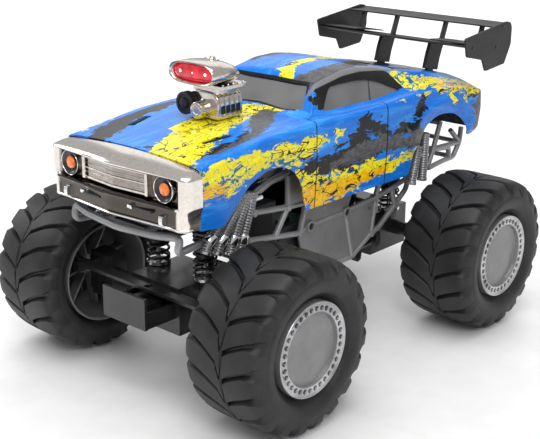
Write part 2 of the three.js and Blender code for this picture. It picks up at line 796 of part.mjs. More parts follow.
// Hollow gearbox with its axle tubes; `inboard` is the Y direction towards mid-wheelbase.
function axleCasing(axleY, inboard, tubeEnd) {
  const span = (a, b) => [axleY + inboard * a, axleY + inboard * b].sort((p, q) => p - q);
  const outer = span(-boxFront, boxBack);
  const inner = span(-boxFront + casingWall, boxBack - casingWall);
  const perch = span(shockInset - 6, shockInset + 6);
  const pin = span(boxBack - 1, boxBack + 7);
  const half = gearboxHalfWidth;
  const room = half - casingWall;
  const casing = join(
    block(-half, half, ...outer, -gearboxHalfHeight, gearboxHalfHeight),
    rod([-tubeEnd, axleY, axleZ], [tubeEnd, axleY, axleZ], tubeRadius, 12),
    block(shockX - 6, shockX + 6, ...perch, 12, gearboxHalfHeight),
    block(-shockX - 6, -shockX + 6, ...perch, 12, gearboxHalfHeight),
    rod([0, pin[0], axleZ], [0, pin[1], axleZ], rollPin, 12),
  );
  const motorY = axleY + inboard * pinionOffset;
  const cradle = cut(
    block(-3, 17, motorY - 9, motorY + 9, -gearboxHalfHeight + 1, -5),
    rod([-5, motorY, axleZ], [20, motorY, axleZ], motorRadius, 14),
  );
  return join(cut(
    casing,
    block(-room, room, ...inner, -gearboxHalfHeight + casingWall, gearboxHalfHeight - casingWall),
    rod([-tubeEnd - 1, axleY, axleZ], [tubeEnd + 1, axleY, axleZ], tubeBore, 12),
  ), cradle);
}

function hubFork(side) {
  const [backIn, backOut, armEnd] = [68, 74, 95];
  const bar = (x0, x1, z0, z1) => {
    const [low, high] = [side * x0, side * x1].sort((p, q) => p - q);
    return block(low, high, frontAxleY - 8, frontAxleY + 8, z0, z1);
  };
  return [
    bar(backIn, backOut, -hubArmOut, hubArmOut),
    bar(backIn, armEnd, hubArmIn, hubArmOut),
    bar(backIn, armEnd, -hubArmOut, -hubArmIn),
  ];
}

function frontHousing() {
  const trayY = frontAxleY - boxFront;
  const noseY0 = frontAxleY - noseFront;
  const tray = [
    block(-trayHalf, trayHalf, noseY0, trayY + 1, noseFloorZ, noseFloorZ + 3),
    block(-trayHalf - 1, trayHalf + 1, noseY0, noseY0 + 3, noseFloorZ, gearboxHalfHeight),
    block(-trayHalf, -trayHalf + 2, noseY0, trayY + 1, noseFloorZ, 8),
    block(trayHalf - 2, trayHalf, noseY0, trayY + 1, noseFloorZ, 8),
  ];
  const solid = join(axleCasing(frontAxleY, 1, 72), ...tray, ...hubFork(1), ...hubFork(-1));
  const holes = [];
  for (const side of [1, -1]) {
    const x = side * kingpinX;
    const ends = hubArmOut + 1;
    holes.push(rod([x, frontAxleY, -ends], [x, frontAxleY, ends], 2.5 + clearance, 12));
    holes.push(rod([side * 66, frontAxleY, axleZ], [side * 76, frontAxleY, axleZ], tubeBore, 12));
  }
  return cut(solid, ...holes);
}
piece('front_axle_housing', frontHousing(), blackPlastic);
piece('rear_axle_housing', axleCasing(rearAxleY, -1, rearTubeEnd), blackPlastic);

function motor(axleY, inboard) {
  const y = axleY + inboard * pinionOffset;
  return join(
    rod([-8, y, axleZ], [24, y, axleZ], motorRadius - 0.5, 14),
    rod([-11, y, axleZ], [-7, y, axleZ], 4, 10),
  );
}
piece('front_motor', motor(frontAxleY, 1), steel);
piece('rear_motor', motor(rearAxleY, -1), steel);

// Straight-sided teeth: half a tooth is a share of the pitch, wide at the root, narrow at the tip.
function gear(teeth, radius, thickness, turn) {
  const addendum = 1.3;
  const dedendum = 1.7;
  const pitch = 2 * Math.PI / teeth;
  const points = [];
  for (let i = 0; i < teeth; i += 1) {
    const middle = i * pitch + turn;
    const [root, tip] = [radius - dedendum, radius + addendum];
    for (const [share, r] of [[-0.3, root], [-0.13, tip], [0.13, tip], [0.3, root]]) {
      points.push([r * Math.cos(middle + share * pitch), r * Math.sin(middle + share * pitch)]);
    }
  }
  return new THREE.ExtrudeGeometry(outline(points), { depth: thickness, bevelEnabled: false })
    .translate(0, 0, -thickness / 2)
    .rotateY(Math.PI / 2);
}

const gearGap = 0.3;
function drive(axleY, inboard, end, shaftEnd) {
  const big = gear(gearTeeth, gearRadius, gearWidth, 0).rotateX(-inboard * Math.PI / 2);
  big.translate(gearX, axleY, axleZ);
  const shaft = rod([-shaftEnd, axleY, axleZ], [shaftEnd, axleY, axleZ], shaftRadius, 10);
  piece(`${end}_drive_gear`, join(big, shaft), steel);
  const pinionRadius = gearRadius * pinionTeeth / gearTeeth;
  const pinionY = axleY + inboard * (pinionOffset + gearGap);
  const small = gear(pinionTeeth, pinionRadius, gearWidth, Math.PI / pinionTeeth);
  small.rotateX(inboard * Math.PI / 2).translate(gearX, pinionY, axleZ);
  const boss = rod([gearX, pinionY, axleZ], [-11 - clearance, pinionY, axleZ], 3.4, 10);
  piece(`${end}_pinion`, join(small, boss), steel);
}
drive(frontAxleY, 1, 'front', 79);
drive(rearAxleY, -1, 'rear', 85);

// ---------- steering ----------
const rodY = frontAxleY - steerArm;
const servoPivotY = rodY - servoArm;
const armZ = 11;
const tieZ = 14.8;
const tiePinZ = 19;
const tiePin = 1.8;
const slotOut = 4.4;             // the slots are long enough for both arms' swing at full lock
const slotIn = 3.8;
const slotRim = 1.7;
piece('steering_servo', join(
  block(-12, 12, servoPivotY - 4, rodY + 2, noseFloorZ + 3 + clearance, 8),
  rod([0, servoPivotY, 7], [0, servoPivotY, armZ - clearance], 3.5, 12),
), blackPlastic);
piece('steering_arm', join(
  block(-3, 3, servoPivotY - 4, rodY + 3, armZ, armZ + 3),
  rod([0, rodY, armZ + 2], [0, rodY, tiePinZ], tiePin, 10),
), blackPlastic);
const pinSlot = (x, across) => block(
  x - across, x + across,
  rodY - slotOut, rodY + slotIn,
  tieZ - 1, tiePinZ + 1,
);
piece('tie_rod', cut(
  block(-kingpinX - 4, kingpinX + 4, rodY - slotOut - slotRim, rodY + slotIn + slotRim, tieZ, tieZ + 3.2),
  pinSlot(0, tiePin + 0.6),
  pinSlot(kingpinX, tiePin + 0.6),
  pinSlot(-kingpinX, tiePin + 0.6),
), blackPlastic);

function knuckle(side) {
  const x = side * kingpinX;
  const solid = join(
    block(x - 6, x + 6, frontAxleY - 9, frontAxleY + 9, -kingpinHeight, kingpinHeight),
    rod([x, frontAxleY, -hubArmOut], [x, frontAxleY, hubArmOut], 2.5, 12),
    block(x - 3, x + 3, rodY - 3, frontAxleY - 8, 7, 13),
    rod([x, rodY, 12], [x, rodY, tiePinZ], tiePin, 10),
  );
  const bore = rod([x - 7, frontAxleY, axleZ], [x + 7, frontAxleY, axleZ], stubRadius + clearance, 14);
  return cut(solid, bore);
}
piece('front_knuckle_left', knuckle(1), blackPlastic);
piece('front_knuckle_right', knuckle(-1), blackPlastic);

// ---------- suspension ----------
const linkX = lugX - 10.5;
const crossY = 41.5;            // middle of the outer crossbar, inboard of the axle line
function linkFrame(end) {
  const pivotY = end * linkPivotY;
  const bushEnd = lugX - lugHalf - clearance;
  const barY = end * (wheelbase / 2 - crossY);
  const arm = (side) => rod([side * linkX, pivotY, linkPivotZ], [side * linkX, barY, axleZ], 3.6, 8);
  const solid = join(
    rod([-bushEnd, pivotY, linkPivotZ], [bushEnd, pivotY, linkPivotZ], 4.4, 10),
    rod([-lugX - lugHalf - 1, pivotY, linkPivotZ], [lugX + lugHalf + 1, pivotY, linkPivotZ], pivotPin, 10),
    block(-linkX - 4, linkX + 4, barY - 3.5, barY + 3.5, axleZ - 6.5, axleZ + 6.5),
    arm(1),
    arm(-1),
    rod([linkX - 2, pivotY + end * 2, linkPivotZ], [-12, barY, axleZ], 2.4, 6),
    rod([-linkX + 2, pivotY + end * 2, linkPivotZ], [12, barY, axleZ], 2.4, 6),
  );
  return cut(solid, rod([0, barY - 6, axleZ], [0, barY + 6, axleZ], rollPin + clearance, 14));
}
piece('front_link_frame', linkFrame(-1), blackPlastic);
piece('rear_link_frame', linkFrame(1), blackPlastic);

const springLow = perchZ + 3 + clearance;
const springHigh = shockTopZ - 10;
const springInner = damperBore + damperWall + clearance;
const roundSides = 10;
for (const [end, direction] of [['front', -1], ['rear', 1]]) {
  const y = direction * (wheelbase / 2 - shockInset);
  for (const [name, side] of [['left', 1], ['right', -1]]) {
    const x = side * shockX;
    piece(`damper_${end}_${name}`, cut(
      join(
        rod([x, y, shockTopZ - 32], [x, y, shockTopZ], damperBore + damperWall, roundSides),
        rod([x, y, springHigh + clearance], [x, y, springHigh + 3], springInner + springWire, roundSides),
      ),
      rod([x, y, shockTopZ - 33], [x, y, shockTopZ - 6], damperBore, roundSides),
    ), blackPlastic);
    const spring = sleeve(springInner, springInner + springWire, springLow, springHigh, x, y);
    piece(`spring_${end}_${name}`, spring, blackPaint);
    piece(`shock_rod_${end}_${name}`, join(
      rod([x, y, perchZ], [x, y, perchZ + 3], springInner + springWire, roundSides),
      rod([x, y, perchZ + 2], [x, y, perchZ + 20], rodRadius, 6),
    ), steel);
  }
}

// ---------- wheels ----------
const tyreSides = 24;
const rimSides = 16;
const seat = (radius) => (radius + clearance) / Math.cos(Math.PI / tyreSides);
function tyreProfile() {
  const r = tyreDiameter / 2;
  const w = tyreWidth / 2;
  const t = tyreWall;
  return [
    [seat(rimFaceRadius), 0.76 * w], [seat(rimFaceRadius) + 11, w], [r - 7, w - 1.5], [r, 0.62 * w],
    [r, -0.62 * w], [r - 7, -w + 1.5], [seat(rimBarrelRadius) + 6, -w], [seat(rimBarrelRadius), -0.76 * w],
    [seat(rimBarrelRadius), -0.76 * w + t], [seat(rimBarrelRadius) + 7, -w + t + 1],
    [r - 7 - t, -w + t + 1.5],
    [r - t, -0.55 * w], [r - t, 0.55 * w], [r - 7 - t, w - t - 1.5], [seat(rimFaceRadius) + 11, w - t],
    [seat(rimFaceRadius), 0.76 * w - t], [seat(rimFaceRadius), 0.76 * w],
  ];
}

function rimProfile() {
  const w = rimHalfWidth;
  const face = rimFaceRadius;
  const barrel = rimBarrelRadius;
  return [
    [0, w - 4], [28, w - 4], [31, w], [face - 1, w], [face, w - 2], [face, w - 20],
    [barrel, w - 28], [barrel, -w + 4], [barrel - rimWall, -w + 1], [barrel - rimWall, w - 29],
    [face - rimWall, w - 19], [face - rimWall, w - 7], [9, w - 7], [9, -5], [0, -5],
  ];
}

function wheel(name, side, axleY) {
  const x = side * wheelX;
  piece(`tyre_${name}`, turned(tyreProfile(), tyreSides, side, x, axleY, axleZ), blackRubber);
  const stub = rod([side * (kingpinX - 4), axleY, axleZ], [x - side * 4, axleY, axleZ], stubRadius, 12);
  piece(`rim_${name}`, join(turned(rimProfile(), rimSides, side, x, axleY, axleZ), stub), wheelGrey);
}
wheel('front_left', 1, frontAxleY);
wheel('front_right', -1, frontAxleY);
wheel('rear_left', 1, rearAxleY);
wheel('rear_right', -1, rearAxleY);

// ---------- origin at the middle of the footprint ----------
const extent = new THREE.Box3().setFromObject(truck);
truck.position.set(0, -(extent.min.y + extent.max.y) / 2, tyreDiameter / 2);

export default truck;
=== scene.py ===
"""Looks of a toy monster truck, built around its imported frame: shell, paint, plating, wheels, springs, frames."""
import json
import math

import bmesh
import bpy
import numpy as np
from mathutils import Matrix, Vector

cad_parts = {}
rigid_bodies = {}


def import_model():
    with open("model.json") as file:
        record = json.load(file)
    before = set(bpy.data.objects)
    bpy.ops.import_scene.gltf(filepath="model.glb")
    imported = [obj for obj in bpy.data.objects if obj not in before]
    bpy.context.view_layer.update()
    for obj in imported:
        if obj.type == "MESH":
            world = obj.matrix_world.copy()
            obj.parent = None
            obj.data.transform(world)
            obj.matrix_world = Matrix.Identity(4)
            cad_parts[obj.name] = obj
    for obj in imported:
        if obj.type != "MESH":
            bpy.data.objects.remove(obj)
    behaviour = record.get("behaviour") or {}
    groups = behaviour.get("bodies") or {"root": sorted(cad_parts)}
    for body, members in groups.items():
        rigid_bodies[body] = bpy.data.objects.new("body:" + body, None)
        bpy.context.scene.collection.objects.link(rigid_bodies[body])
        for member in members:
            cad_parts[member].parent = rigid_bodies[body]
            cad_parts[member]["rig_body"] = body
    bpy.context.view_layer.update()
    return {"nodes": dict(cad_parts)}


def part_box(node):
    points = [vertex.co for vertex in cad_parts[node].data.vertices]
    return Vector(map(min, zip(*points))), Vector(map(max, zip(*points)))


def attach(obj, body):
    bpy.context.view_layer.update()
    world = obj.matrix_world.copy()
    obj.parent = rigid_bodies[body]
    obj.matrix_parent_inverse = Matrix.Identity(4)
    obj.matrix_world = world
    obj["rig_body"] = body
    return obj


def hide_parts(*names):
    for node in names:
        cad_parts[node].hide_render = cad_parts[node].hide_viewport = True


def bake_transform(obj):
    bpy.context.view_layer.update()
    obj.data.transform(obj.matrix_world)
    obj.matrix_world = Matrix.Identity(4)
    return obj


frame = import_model()
SIDES = ("left", "right")
ENDS = ("front", "rear")


def middle_of(node):
    low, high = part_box(node)
    return np.array((low + high) / 2) * 1000


# Lengths below are in millimetres from the middle of the wheelbase at axle height, which is ORIGIN in the frame.
front_hub, rear_hub = middle_of("tyre_front_left"), middle_of("tyre_rear_left")
ORIGIN = np.array([0.0, (front_hub[1] + rear_hub[1]) / 2, front_hub[2]])
AXLE_Y = {"front": front_hub[1] - ORIGIN[1], "rear": rear_hub[1] - ORIGIN[1]}
WHEEL_X = front_hub[0]
SIGN = {"left": 1, "right": -1}


# ---------- shapes: (points, faces) in millimetres ----------
def joined(*shapes):
    """One shape holding all the given ones."""
    points, faces, count = [], [], 0
    for part_points, part_faces in shapes:
        points.append(np.asarray(part_points, float))
        faces += [[i + count for i in face] for face in part_faces]
        count += len(part_points)
    return np.vstack(points), faces


def moved(shape, offset):
    return shape[0] + np.array(offset, float), shape[1]


def mirrored(shape):
    return shape[0] * [-1, 1, 1], [face[::-1] for face in shape[1]]


def strip_faces(rows, columns, wrap_rows=False, wrap_columns=False):
    """Quads of a rows x columns grid of points, closed on itself where asked."""
    i = np.arange(rows if wrap_rows else rows - 1)[:, None]
    j = np.arange(columns if wrap_columns else columns - 1)[None, :]
    a = i * columns + j
    b = i * columns + (j + 1) % columns
    c = ((i + 1) % rows) * columns + (j + 1) % columns
    d = ((i + 1) % rows) * columns + j
    return np.stack([a, b, c, d], -1).reshape(-1, 4).tolist()


def surface(grid, wrap_rows=False, wrap_columns=False, caps=False):
    """A grid of points as a shape. With caps, the first and last rows are filled."""
    rows, columns = grid.shape[:2]
    faces = strip_faces(rows, columns, wrap_rows, wrap_columns)
    if caps:
        faces.append(list(range(columns))[::-1])
        faces.append([(rows - 1) * columns + k for k in range(columns)])
    return grid.reshape(-1, 3), faces


def thick(outer, inner):
    """A closed wall between two grids of the same size, joined along all four edges."""
    rows, columns = outer.shape[:2]
    ring = np.concatenate([outer, inner[:, ::-1]], axis=1)
    faces = strip_faces(rows, 2 * columns, wrap_columns=True)
    for row in (0, rows - 1):
        base = row * 2 * columns
        faces += [[base + k, base + k + 1, base + 2 * columns - 2 - k, base + 2 * columns - 1 - k]
                  for k in range(columns - 1)]
    return ring.reshape(-1, 3), faces


def frames_along(path):
    """Tangents and two cross directions along a path, each cross direction carried on from the one before."""
    tangents = np.gradient(path, axis=0)
    tangents /= np.linalg.norm(tangents, axis=1, keepdims=True)
    first = np.cross(tangents[0], [0.3, 0.2, 0.93])
    if np.linalg.norm(first) < 0.1:
        first = np.cross(tangents[0], [1, 0, 0])
    sides = [first / np.linalg.norm(first)]
    for tangent in tangents[1:]:
        side = sides[-1] - tangent * (sides[-1] @ tangent)
        sides.append(side / np.linalg.norm(side))
    sides = np.array(sides)
    return tangents, sides, np.cross(tangents, sides)


def tube(path, radius, sides=14):
    """A round rod carried along a path: centre + radius (cos, sin) in the path's cross directions."""
    path = np.asarray(path, float)
    _, across, over = frames_along(path)
    turn = np.linspace(0, 2 * math.pi, sides, endpoint=False)
    radius = np.broadcast_to(radius, len(path))[:, None, None]
    ring = across[:, None] * np.cos(turn)[None, :, None] + over[:, None] * np.sin(turn)[None, :, None]
    return surface(path[:, None] + ring * radius, wrap_columns=True, caps=True)


def lathe(profile, sides, centre, axis="x", ring=False):
    """A profile of (distance along the axis, radius) turned about that axis through centre: a solid whose ends are
    filled, or a ring where the profile closes on itself."""
    profile = np.asarray(profile, float)
    turn = np.linspace(0, 2 * math.pi, sides, endpoint=False)
    along = np.broadcast_to(profile[:, 0, None], (len(profile), sides))
    one, two = profile[:, 1, None] * np.cos(turn), profile[:, 1, None] * np.sin(turn)
    order = {"x": (along, one, two), "y": (two, along, one), "z": (one, two, along)}[axis]
    grid = np.stack(order, -1) + np.array(centre, float)
    return surface(grid, wrap_rows=ring, wrap_columns=True, caps=not ring)


def slab(outline, low, high, axis):
    """A flat outline carried along an axis from low to high, closed at both ends."""
    outline = np.asarray(outline, float)
    rings = []
    for depth in (low, high):
        full = np.full(len(outline), float(depth))
        a, b = outline[:, 0], outline[:, 1]
        rings.append(np.stack({"x": (full, a, b), "y": (a, full, b), "z": (a, b, full)}[axis], -1))
    return surface(np.stack(rings), wrap_columns=True, caps=True)


def rectangle(a0, a1, b0, b1):
    return [(a0, b0), (a1, b0), (a1, b1), (a0, b1)]


def block(x0, x1, y0, y1, z0, z1):
    return slab(rectangle(x0, x1, y0, y1), z0, z1, "z")


def rounded(outline, radius, steps=4, open_ends=False):
    """An outline whose corners are replaced by quadratic curves that start `radius` before each corner."""
    outline = np.asarray(outline, float)
    count, out = len(outline), []
    share = np.linspace(0, 1, steps + 1)[:, None]
    for i in range(count):
        if open_ends and i in (0, count - 1):
            out.append(outline[i][None])
            continue
        here, before, after = outline[i], outline[i - 1], outline[(i + 1) % count]
        reach = [min(radius, 0.45 * np.linalg.norm(other - here)) for other in (before, after)]
        a = here + (before - here) / np.linalg.norm(before - here) * reach[0]
        b = here + (after - here) / np.linalg.norm(after - here) * reach[1]
        out.append((1 - share) ** 2 * a + 2 * share * (1 - share) * here + share ** 2 * b)
    return np.vstack(out)


def dense(path, step):
    """The same path with points at most `step` apart."""
    path = np.asarray(path, float)
    reach = np.concatenate([[0], np.cumsum(np.linalg.norm(np.diff(path, axis=0), axis=1))])
    at = np.linspace(0, reach[-1], max(2, int(reach[-1] / step) + 1))
    return np.stack([np.interp(at, reach, path[:, k]) for k in range(path.shape[1])], -1)


def in_plane(x, points):
    """Points given as (y, z), set at a distance x from the middle plane."""
    points = np.asarray(points, float)
    return np.column_stack([np.full(len(points), float(x)), points])


# ---------- pieces ----------
def tidy(mesh, merge=1e-6, flat=0):
    """Merges doubled points, makes flat faces whole where asked (in degrees) and turns every face outwards."""
    work = bmesh.new()
    work.from_mesh(mesh)
    bmesh.ops.remove_doubles(work, verts=work.verts, dist=merge)
    if flat:
        bmesh.ops.dissolve_limit(work, angle_limit=math.radians(flat), verts=work.verts, edges=work.edges)
    bmesh.ops.recalc_face_normals(work, faces=work.faces)
    work.to_mesh(mesh)
    work.free()


def mesh_of(name, shape):
    """The shape's points and faces as a tidy mesh, in the frame's metres."""
    points, faces = shape
    mesh = bpy.data.meshes.new(name)
    mesh.from_pydata(((points + ORIGIN) * 0.001).tolist(), [], faces)
    tidy(mesh)
    return mesh


def linked(name, data):
    made = bpy.data.objects.new(name, data)
    bpy.context.scene.collection.objects.link(made)
    return made


def soften(mesh, degrees):
    mesh.polygons.foreach_set("use_smooth", [True] * len(mesh.polygons))
    mesh.set_sharp_from_angle(angle=math.radians(degrees))


def bevel(piece, width, segments=2, degrees=35):
    edge = piece.modifiers.new("edge", "BEVEL")
    edge.width, edge.segments = width * 0.001, segments
    edge.limit_method, edge.angle_limit = "ANGLE", math.radians(degrees)
    edge.use_clamp_overlap = True
    edge.harden_normals = True


def piece(name, shape, body, slot, look, nodes=(), crease=38, edge=0.0):
    """Makes a shape a finished piece on a body, with its look and the CAD nodes it stands for. The slot is not
    used.
    """
    return settle(name, mesh_of(name, shape), body, look, nodes, crease, edge)


def settle(name, mesh, body, look, nodes, crease, edge):
    made = linked(name, mesh)
    soften(mesh, crease)
    if edge:
        bevel(made, edge)
    mesh.materials.clear()
    mesh.materials.append(look)
    if body:
        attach(made, body)
    if nodes:
        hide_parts(*nodes)
    return made


def refined(node, look, edge=0.5):
    """A copy of a CAD node with merged points, flat faces made whole and its edges rounded."""
    source = frame["nodes"][node]
    mesh = source.data.copy()
    tidy(mesh, merge=2e-6, flat=2)
    return settle(f"{node}_moulding", mesh, source["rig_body"], look, (node,), 32, edge)


def design_points(mesh):
    points = np.zeros(len(mesh.vertices) * 3, np.float32)
    mesh.vertices.foreach_get("co", points)
    return (points.reshape(-1, 3).astype(float) * 1000 - ORIGIN).T


def write_field(mesh, name, values):
    """One number for every point of the mesh, which a material reads by its name."""
    mesh.attributes.new(name, "FLOAT", "POINT").data.foreach_set("value", values.astype(np.float32))


# ---------- looks ----------
class Wire:
    """One output of a node, so that maths on it is written as Python."""

    def __init__(self, look, socket):
        self.look, self.socket = look, socket

    def math(self, operation, *others):
        return self.look.node("Math", {"operation": operation}, dict(enumerate((self, *others))))

    def __add__(self, other):
        return self.math("ADD", other)

    def __sub__(self, other):
        return self.math("SUBTRACT", other)

    def __rsub__(self, other):
        return self.look.node("Math", {"operation": "SUBTRACT"}, {0: other, 1: self})

    def __mul__(self, other):
        return self.math("MULTIPLY", other)

    __radd__, __rmul__ = __add__, __mul__

    def step(self, low, high):
        """0 below low, 1 above high, smooth between; the other way round when low is above high."""
        flip = low > high
        sockets = {0: self, 1: min(low, high), 2: max(low, high), 3: float(flip), 4: float(not flip)}
        return self.look.node("MapRange", {"interpolation_type": "SMOOTHSTEP"}, sockets)


class Look:
    """A material: its node tree and the calls that fill it."""

    def __init__(self, name, **uniform):
        self.material = bpy.data.materials.new(name)
        self.material.use_nodes = True
        self.tree = self.material.node_tree
        self.shader = self.tree.nodes["Principled BSDF"]
        for key, value in uniform.items():
            self.shader.inputs[key.replace("_", " ").title().replace("Ior", "IOR")].default_value = value

    def node(self, kind, settings=None, sockets=None, output=0):
        made = self.tree.nodes.new("ShaderNode" + kind)
        for key, value in (settings or {}).items():
            setattr(made, key, value)
        for key, value in (sockets or {}).items():
            if isinstance(value, Wire):
                self.tree.links.new(value.socket, made.inputs[key])
            else:
                made.inputs[key].default_value = value
        return Wire(self, made.outputs[output])

    def place(self, stretch=(1, 1, 1)):
        """Object coordinates, scaled along each axis."""
        here = self.node("TexCoord", output="Object")
        return self.node("Mapping", {}, {"Vector": here, "Scale": stretch})

    def noise(self, size, detail=3.0, rough=0.55, warp=0.0, stretch=(1, 1, 1)):
        """Cloudy values from 0 to 1 with features of about `size` millimetres."""
        sockets = {"Vector": self.place(stretch), "Scale": 1000 / size, "Detail": detail,
                   "Roughness": rough,
                   "Distortion": warp}
        return self.node("TexNoise", {}, sockets)

    def field(self, name):
        return self.node("Attribute", {"attribute_name": name}, output="Fac")

    def mix(self, share, a, b):
        sockets = {0: share, 6: a if isinstance(a, Wire) else (*a, 1),
                   7: b if isinstance(b, Wire) else (*b, 1)}
        return self.node("Mix", {"data_type": "RGBA"}, sockets, output=2)

    def bump(self, height, depth):
        """Normals of a height from 0 to 1 that stands `depth` millimetres tall."""
        return self.node("Bump", {}, {"Height": height, "Distance": depth * 0.001, "Strength": 1.0})

    def feed(self, **varying):
        for key, value in varying.items():
            socket = self.shader.inputs[key.replace("_", " ").title()]
            if isinstance(value, Wire):
                self.tree.links.new(value.socket, socket)
            else:
                socket.default_value = (*value, 1) if isinstance(value, tuple) else value
        return self.material


def moulded(name, color, lighter, rough, grain=0.05, grain_size=0.6, metal=0.0, coat=0.0):
    """Moulded plastic: a slow change of tone, fine grain in the surface and scuffed gloss."""
    look = Look(name, metallic=metal, coat_weight=coat, coat_roughness=0.15)
    tone = look.noise(30, 3, 0.6)
    scuff = look.noise(5, 5, 0.7, 0.6)
    grainy = look.noise(grain_size, 2, 0.6)
    return look.feed(
        base_color=look.mix(tone.step(0.3, 0.7), color, lighter),
        roughness=rough - 0.1 + scuff * 0.22,
        normal=look.bump(grainy, grain),
    )


def plated(name, color, dark, rough=0.12, painted_shade=None):
    """Nickel plating on plastic: warm tone, slight waviness of the moulding under it, finger-worn gloss. Where a
    piece carries the field shade the plating goes over to the painted_shade tone, a darker colour painted on as
    shade."""
    look = Look(name, metallic=1.0, coat_weight=0.3, coat_roughness=0.05)
    wave = look.noise(9, 2, 0.5)
    wear = look.noise(3, 5, 0.7, 0.4)
    tone = look.mix(wear.step(0.35, 0.8), color, dark)
    if painted_shade:
        tone = look.mix(look.field("shade"), tone, painted_shade)
    return look.feed(
        base_color=tone,
        roughness=rough + wear * 0.1,
        normal=look.bump(wave, 0.12),
    )


def livery():
    """Splashed paint: each colour is a painted field, in millimetres inside its outline, broken up by noise that is
    drawn out along slanting strokes. Cracks and chips in the yellow show the colour under it."""
    look = Look("splashed_paint", coat_weight=0.15, coat_roughness=0.12, specular_ior_level=0.22)
    ragged = look.noise(11, 7, 0.66, 1.0, (1, 0.6, 1.35)) - 0.5
    dabs = look.noise(4.5, 5, 0.7, 1.2, (1, 0.7, 1.2))
    chips = look.noise(15, 5, 0.62, 1.2, (1, 0.6, 1.4))
    streak = look.noise(14, 4, 0.6, 0.7, (1.4, 0.25, 1.6))
    vein = (look.noise(26, 3, 0.6, 1.1, (1, 0.6, 1.4)) - 0.5).math("ABSOLUTE")
    branch = (look.noise(13, 2, 0.6, 0.9, (1.3, 0.6, 1.2)) - 0.5).math("ABSOLUTE")

    def inside(name, reach, edge=0.3):
        return (look.field(name) + ragged * reach).step(-edge, edge)

    blue = look.mix(streak.step(0.45, 0.72), (0.004, 0.17, 0.70), (0.03, 0.32, 0.88))
    blue = look.mix(streak.step(0.66, 0.74) * look.noise(40, 2).step(0.45, 0.6), blue, (0.2, 0.52, 0.95))
    grey = look.mix(dabs.step(0.4, 0.6), (0.05, 0.05, 0.055), (0.11, 0.11, 0.115))
    black = (0.006, 0.006, 0.007)
    dark = look.mix(inside("ink", 14), (0.0, 0.15, 0.34), black)
    lemon = look.mix(dabs.step(0.35, 0.7), (0.88, 0.74, 0.0), (0.97, 0.9, 0.05))
    amber = look.mix(dabs.step(0.35, 0.65), (0.9, 0.40, 0.0), (0.95, 0.64, 0.0))
    yellow = look.mix(inside("amber", 18), lemon, amber)

    grey_mask = inside("grey", 30)
    black_mask = inside("black", 36)
    yellow_mask = inside("yellow", 34)
    paint = look.mix(black_mask, blue, black)
    paint = look.mix(grey_mask, paint, grey)
    crack = vein.step(0.016, 0.008).math("MAXIMUM", branch.step(0.012, 0.005))
    gap = chips.step(0.6, 0.612).math("MAXIMUM", crack)
    paint = look.mix(yellow_mask, paint, look.mix(gap, yellow, dark))
    speck = look.noise(2.6, 4, 0.7, 1.2, (1, 0.7, 1.3)).step(0.655, 0.665)
    near = look.field("yellow").step(-9, 1)
    paint = look.mix(speck * near * (1 - yellow_mask), paint, lemon)
    paint = look.mix(speck * look.field("black").step(-10, 0), paint, black)
    paint = look.mix(inside("azure", 9), paint, (0.03, 0.3, 0.9))
    paint = look.mix(look.field("trim").step(-0.3, 0.3), paint, black)
    paint = look.mix(look.field("rail").step(-0.3, 0.3), paint, (0.2, 0.2, 0.205))
    paint = look.mix(look.field("line").step(0.6, 0.25), paint, (0.004, 0.01, 0.03))
    orange_peel = look.noise(1.6, 2, 0.5)
    return look.feed(base_color=paint, roughness=0.24 + grey_mask * 0.12 + dabs * 0.08,
                     normal=look.bump(orange_peel, 0.02))


def rubber():
    """Tyre rubber: near black, a dusty bloom in broad cloudy patches, fine pitting."""
    look = Look("tyre_rubber", specular_ior_level=0.45)
    bloom = look.noise(22, 4, 0.6)
    dust = look.noise(1.6, 4, 0.7)
    return look.feed(
        base_color=look.mix(bloom.step(0.35, 0.75), (0.011, 0.011, 0.012), (0.024, 0.024, 0.025)),
        roughness=0.42 + dust * 0.2,
        normal=look.bump(dust, 0.1),
    )


def glowing(name, color, strength, rough=0.15, speckle=4):
    """A lamp face or lens: saturated plastic that gives a little light of its own, with a faint prism pattern."""
    look = Look(name, coat_weight=0.8, coat_roughness=0.04, emission_strength=strength)
    prism = look.noise(speckle, 3, 0.6)
    dim = tuple(0.45 * c for c in color)
    tone = look.mix(prism.step(0.3, 0.7), color, dim)
    return look.feed(base_color=tone, emission_color=tone, roughness=rough + prism * 0.1,
                     normal=look.bump(prism, 0.15))


def glass_grey():
    """Printed grey glazing: flat tone that changes a little in broad cloudy patches, soft sheen."""
    look = Look("printed_glazing", coat_weight=0.35, coat_roughness=0.12)
    haze = look.noise(45, 2, 0.5)
    fine = look.noise(1.2, 2, 0.5)
    return look.feed(base_color=look.mix(haze.step(0.35, 0.65), (0.115, 0.115, 0.118), (0.15, 0.15, 0.153)),
                     roughness=0.3 + haze * 0.1, normal=look.bump(fine, 0.02))


PAINT = livery()
GLAZING = glass_grey()
NICKEL = plated("warm_nickel", (0.78, 0.72, 0.66), (0.56, 0.49, 0.43))
# the last colour is painted shade: the nose's front faces below the cap take this darker tone of the same plating
NOSE_NICKEL = plated("nose_nickel", (0.86, 0.81, 0.75), (0.68, 0.62, 0.56), 0.14, (0.075, 0.062, 0.053))
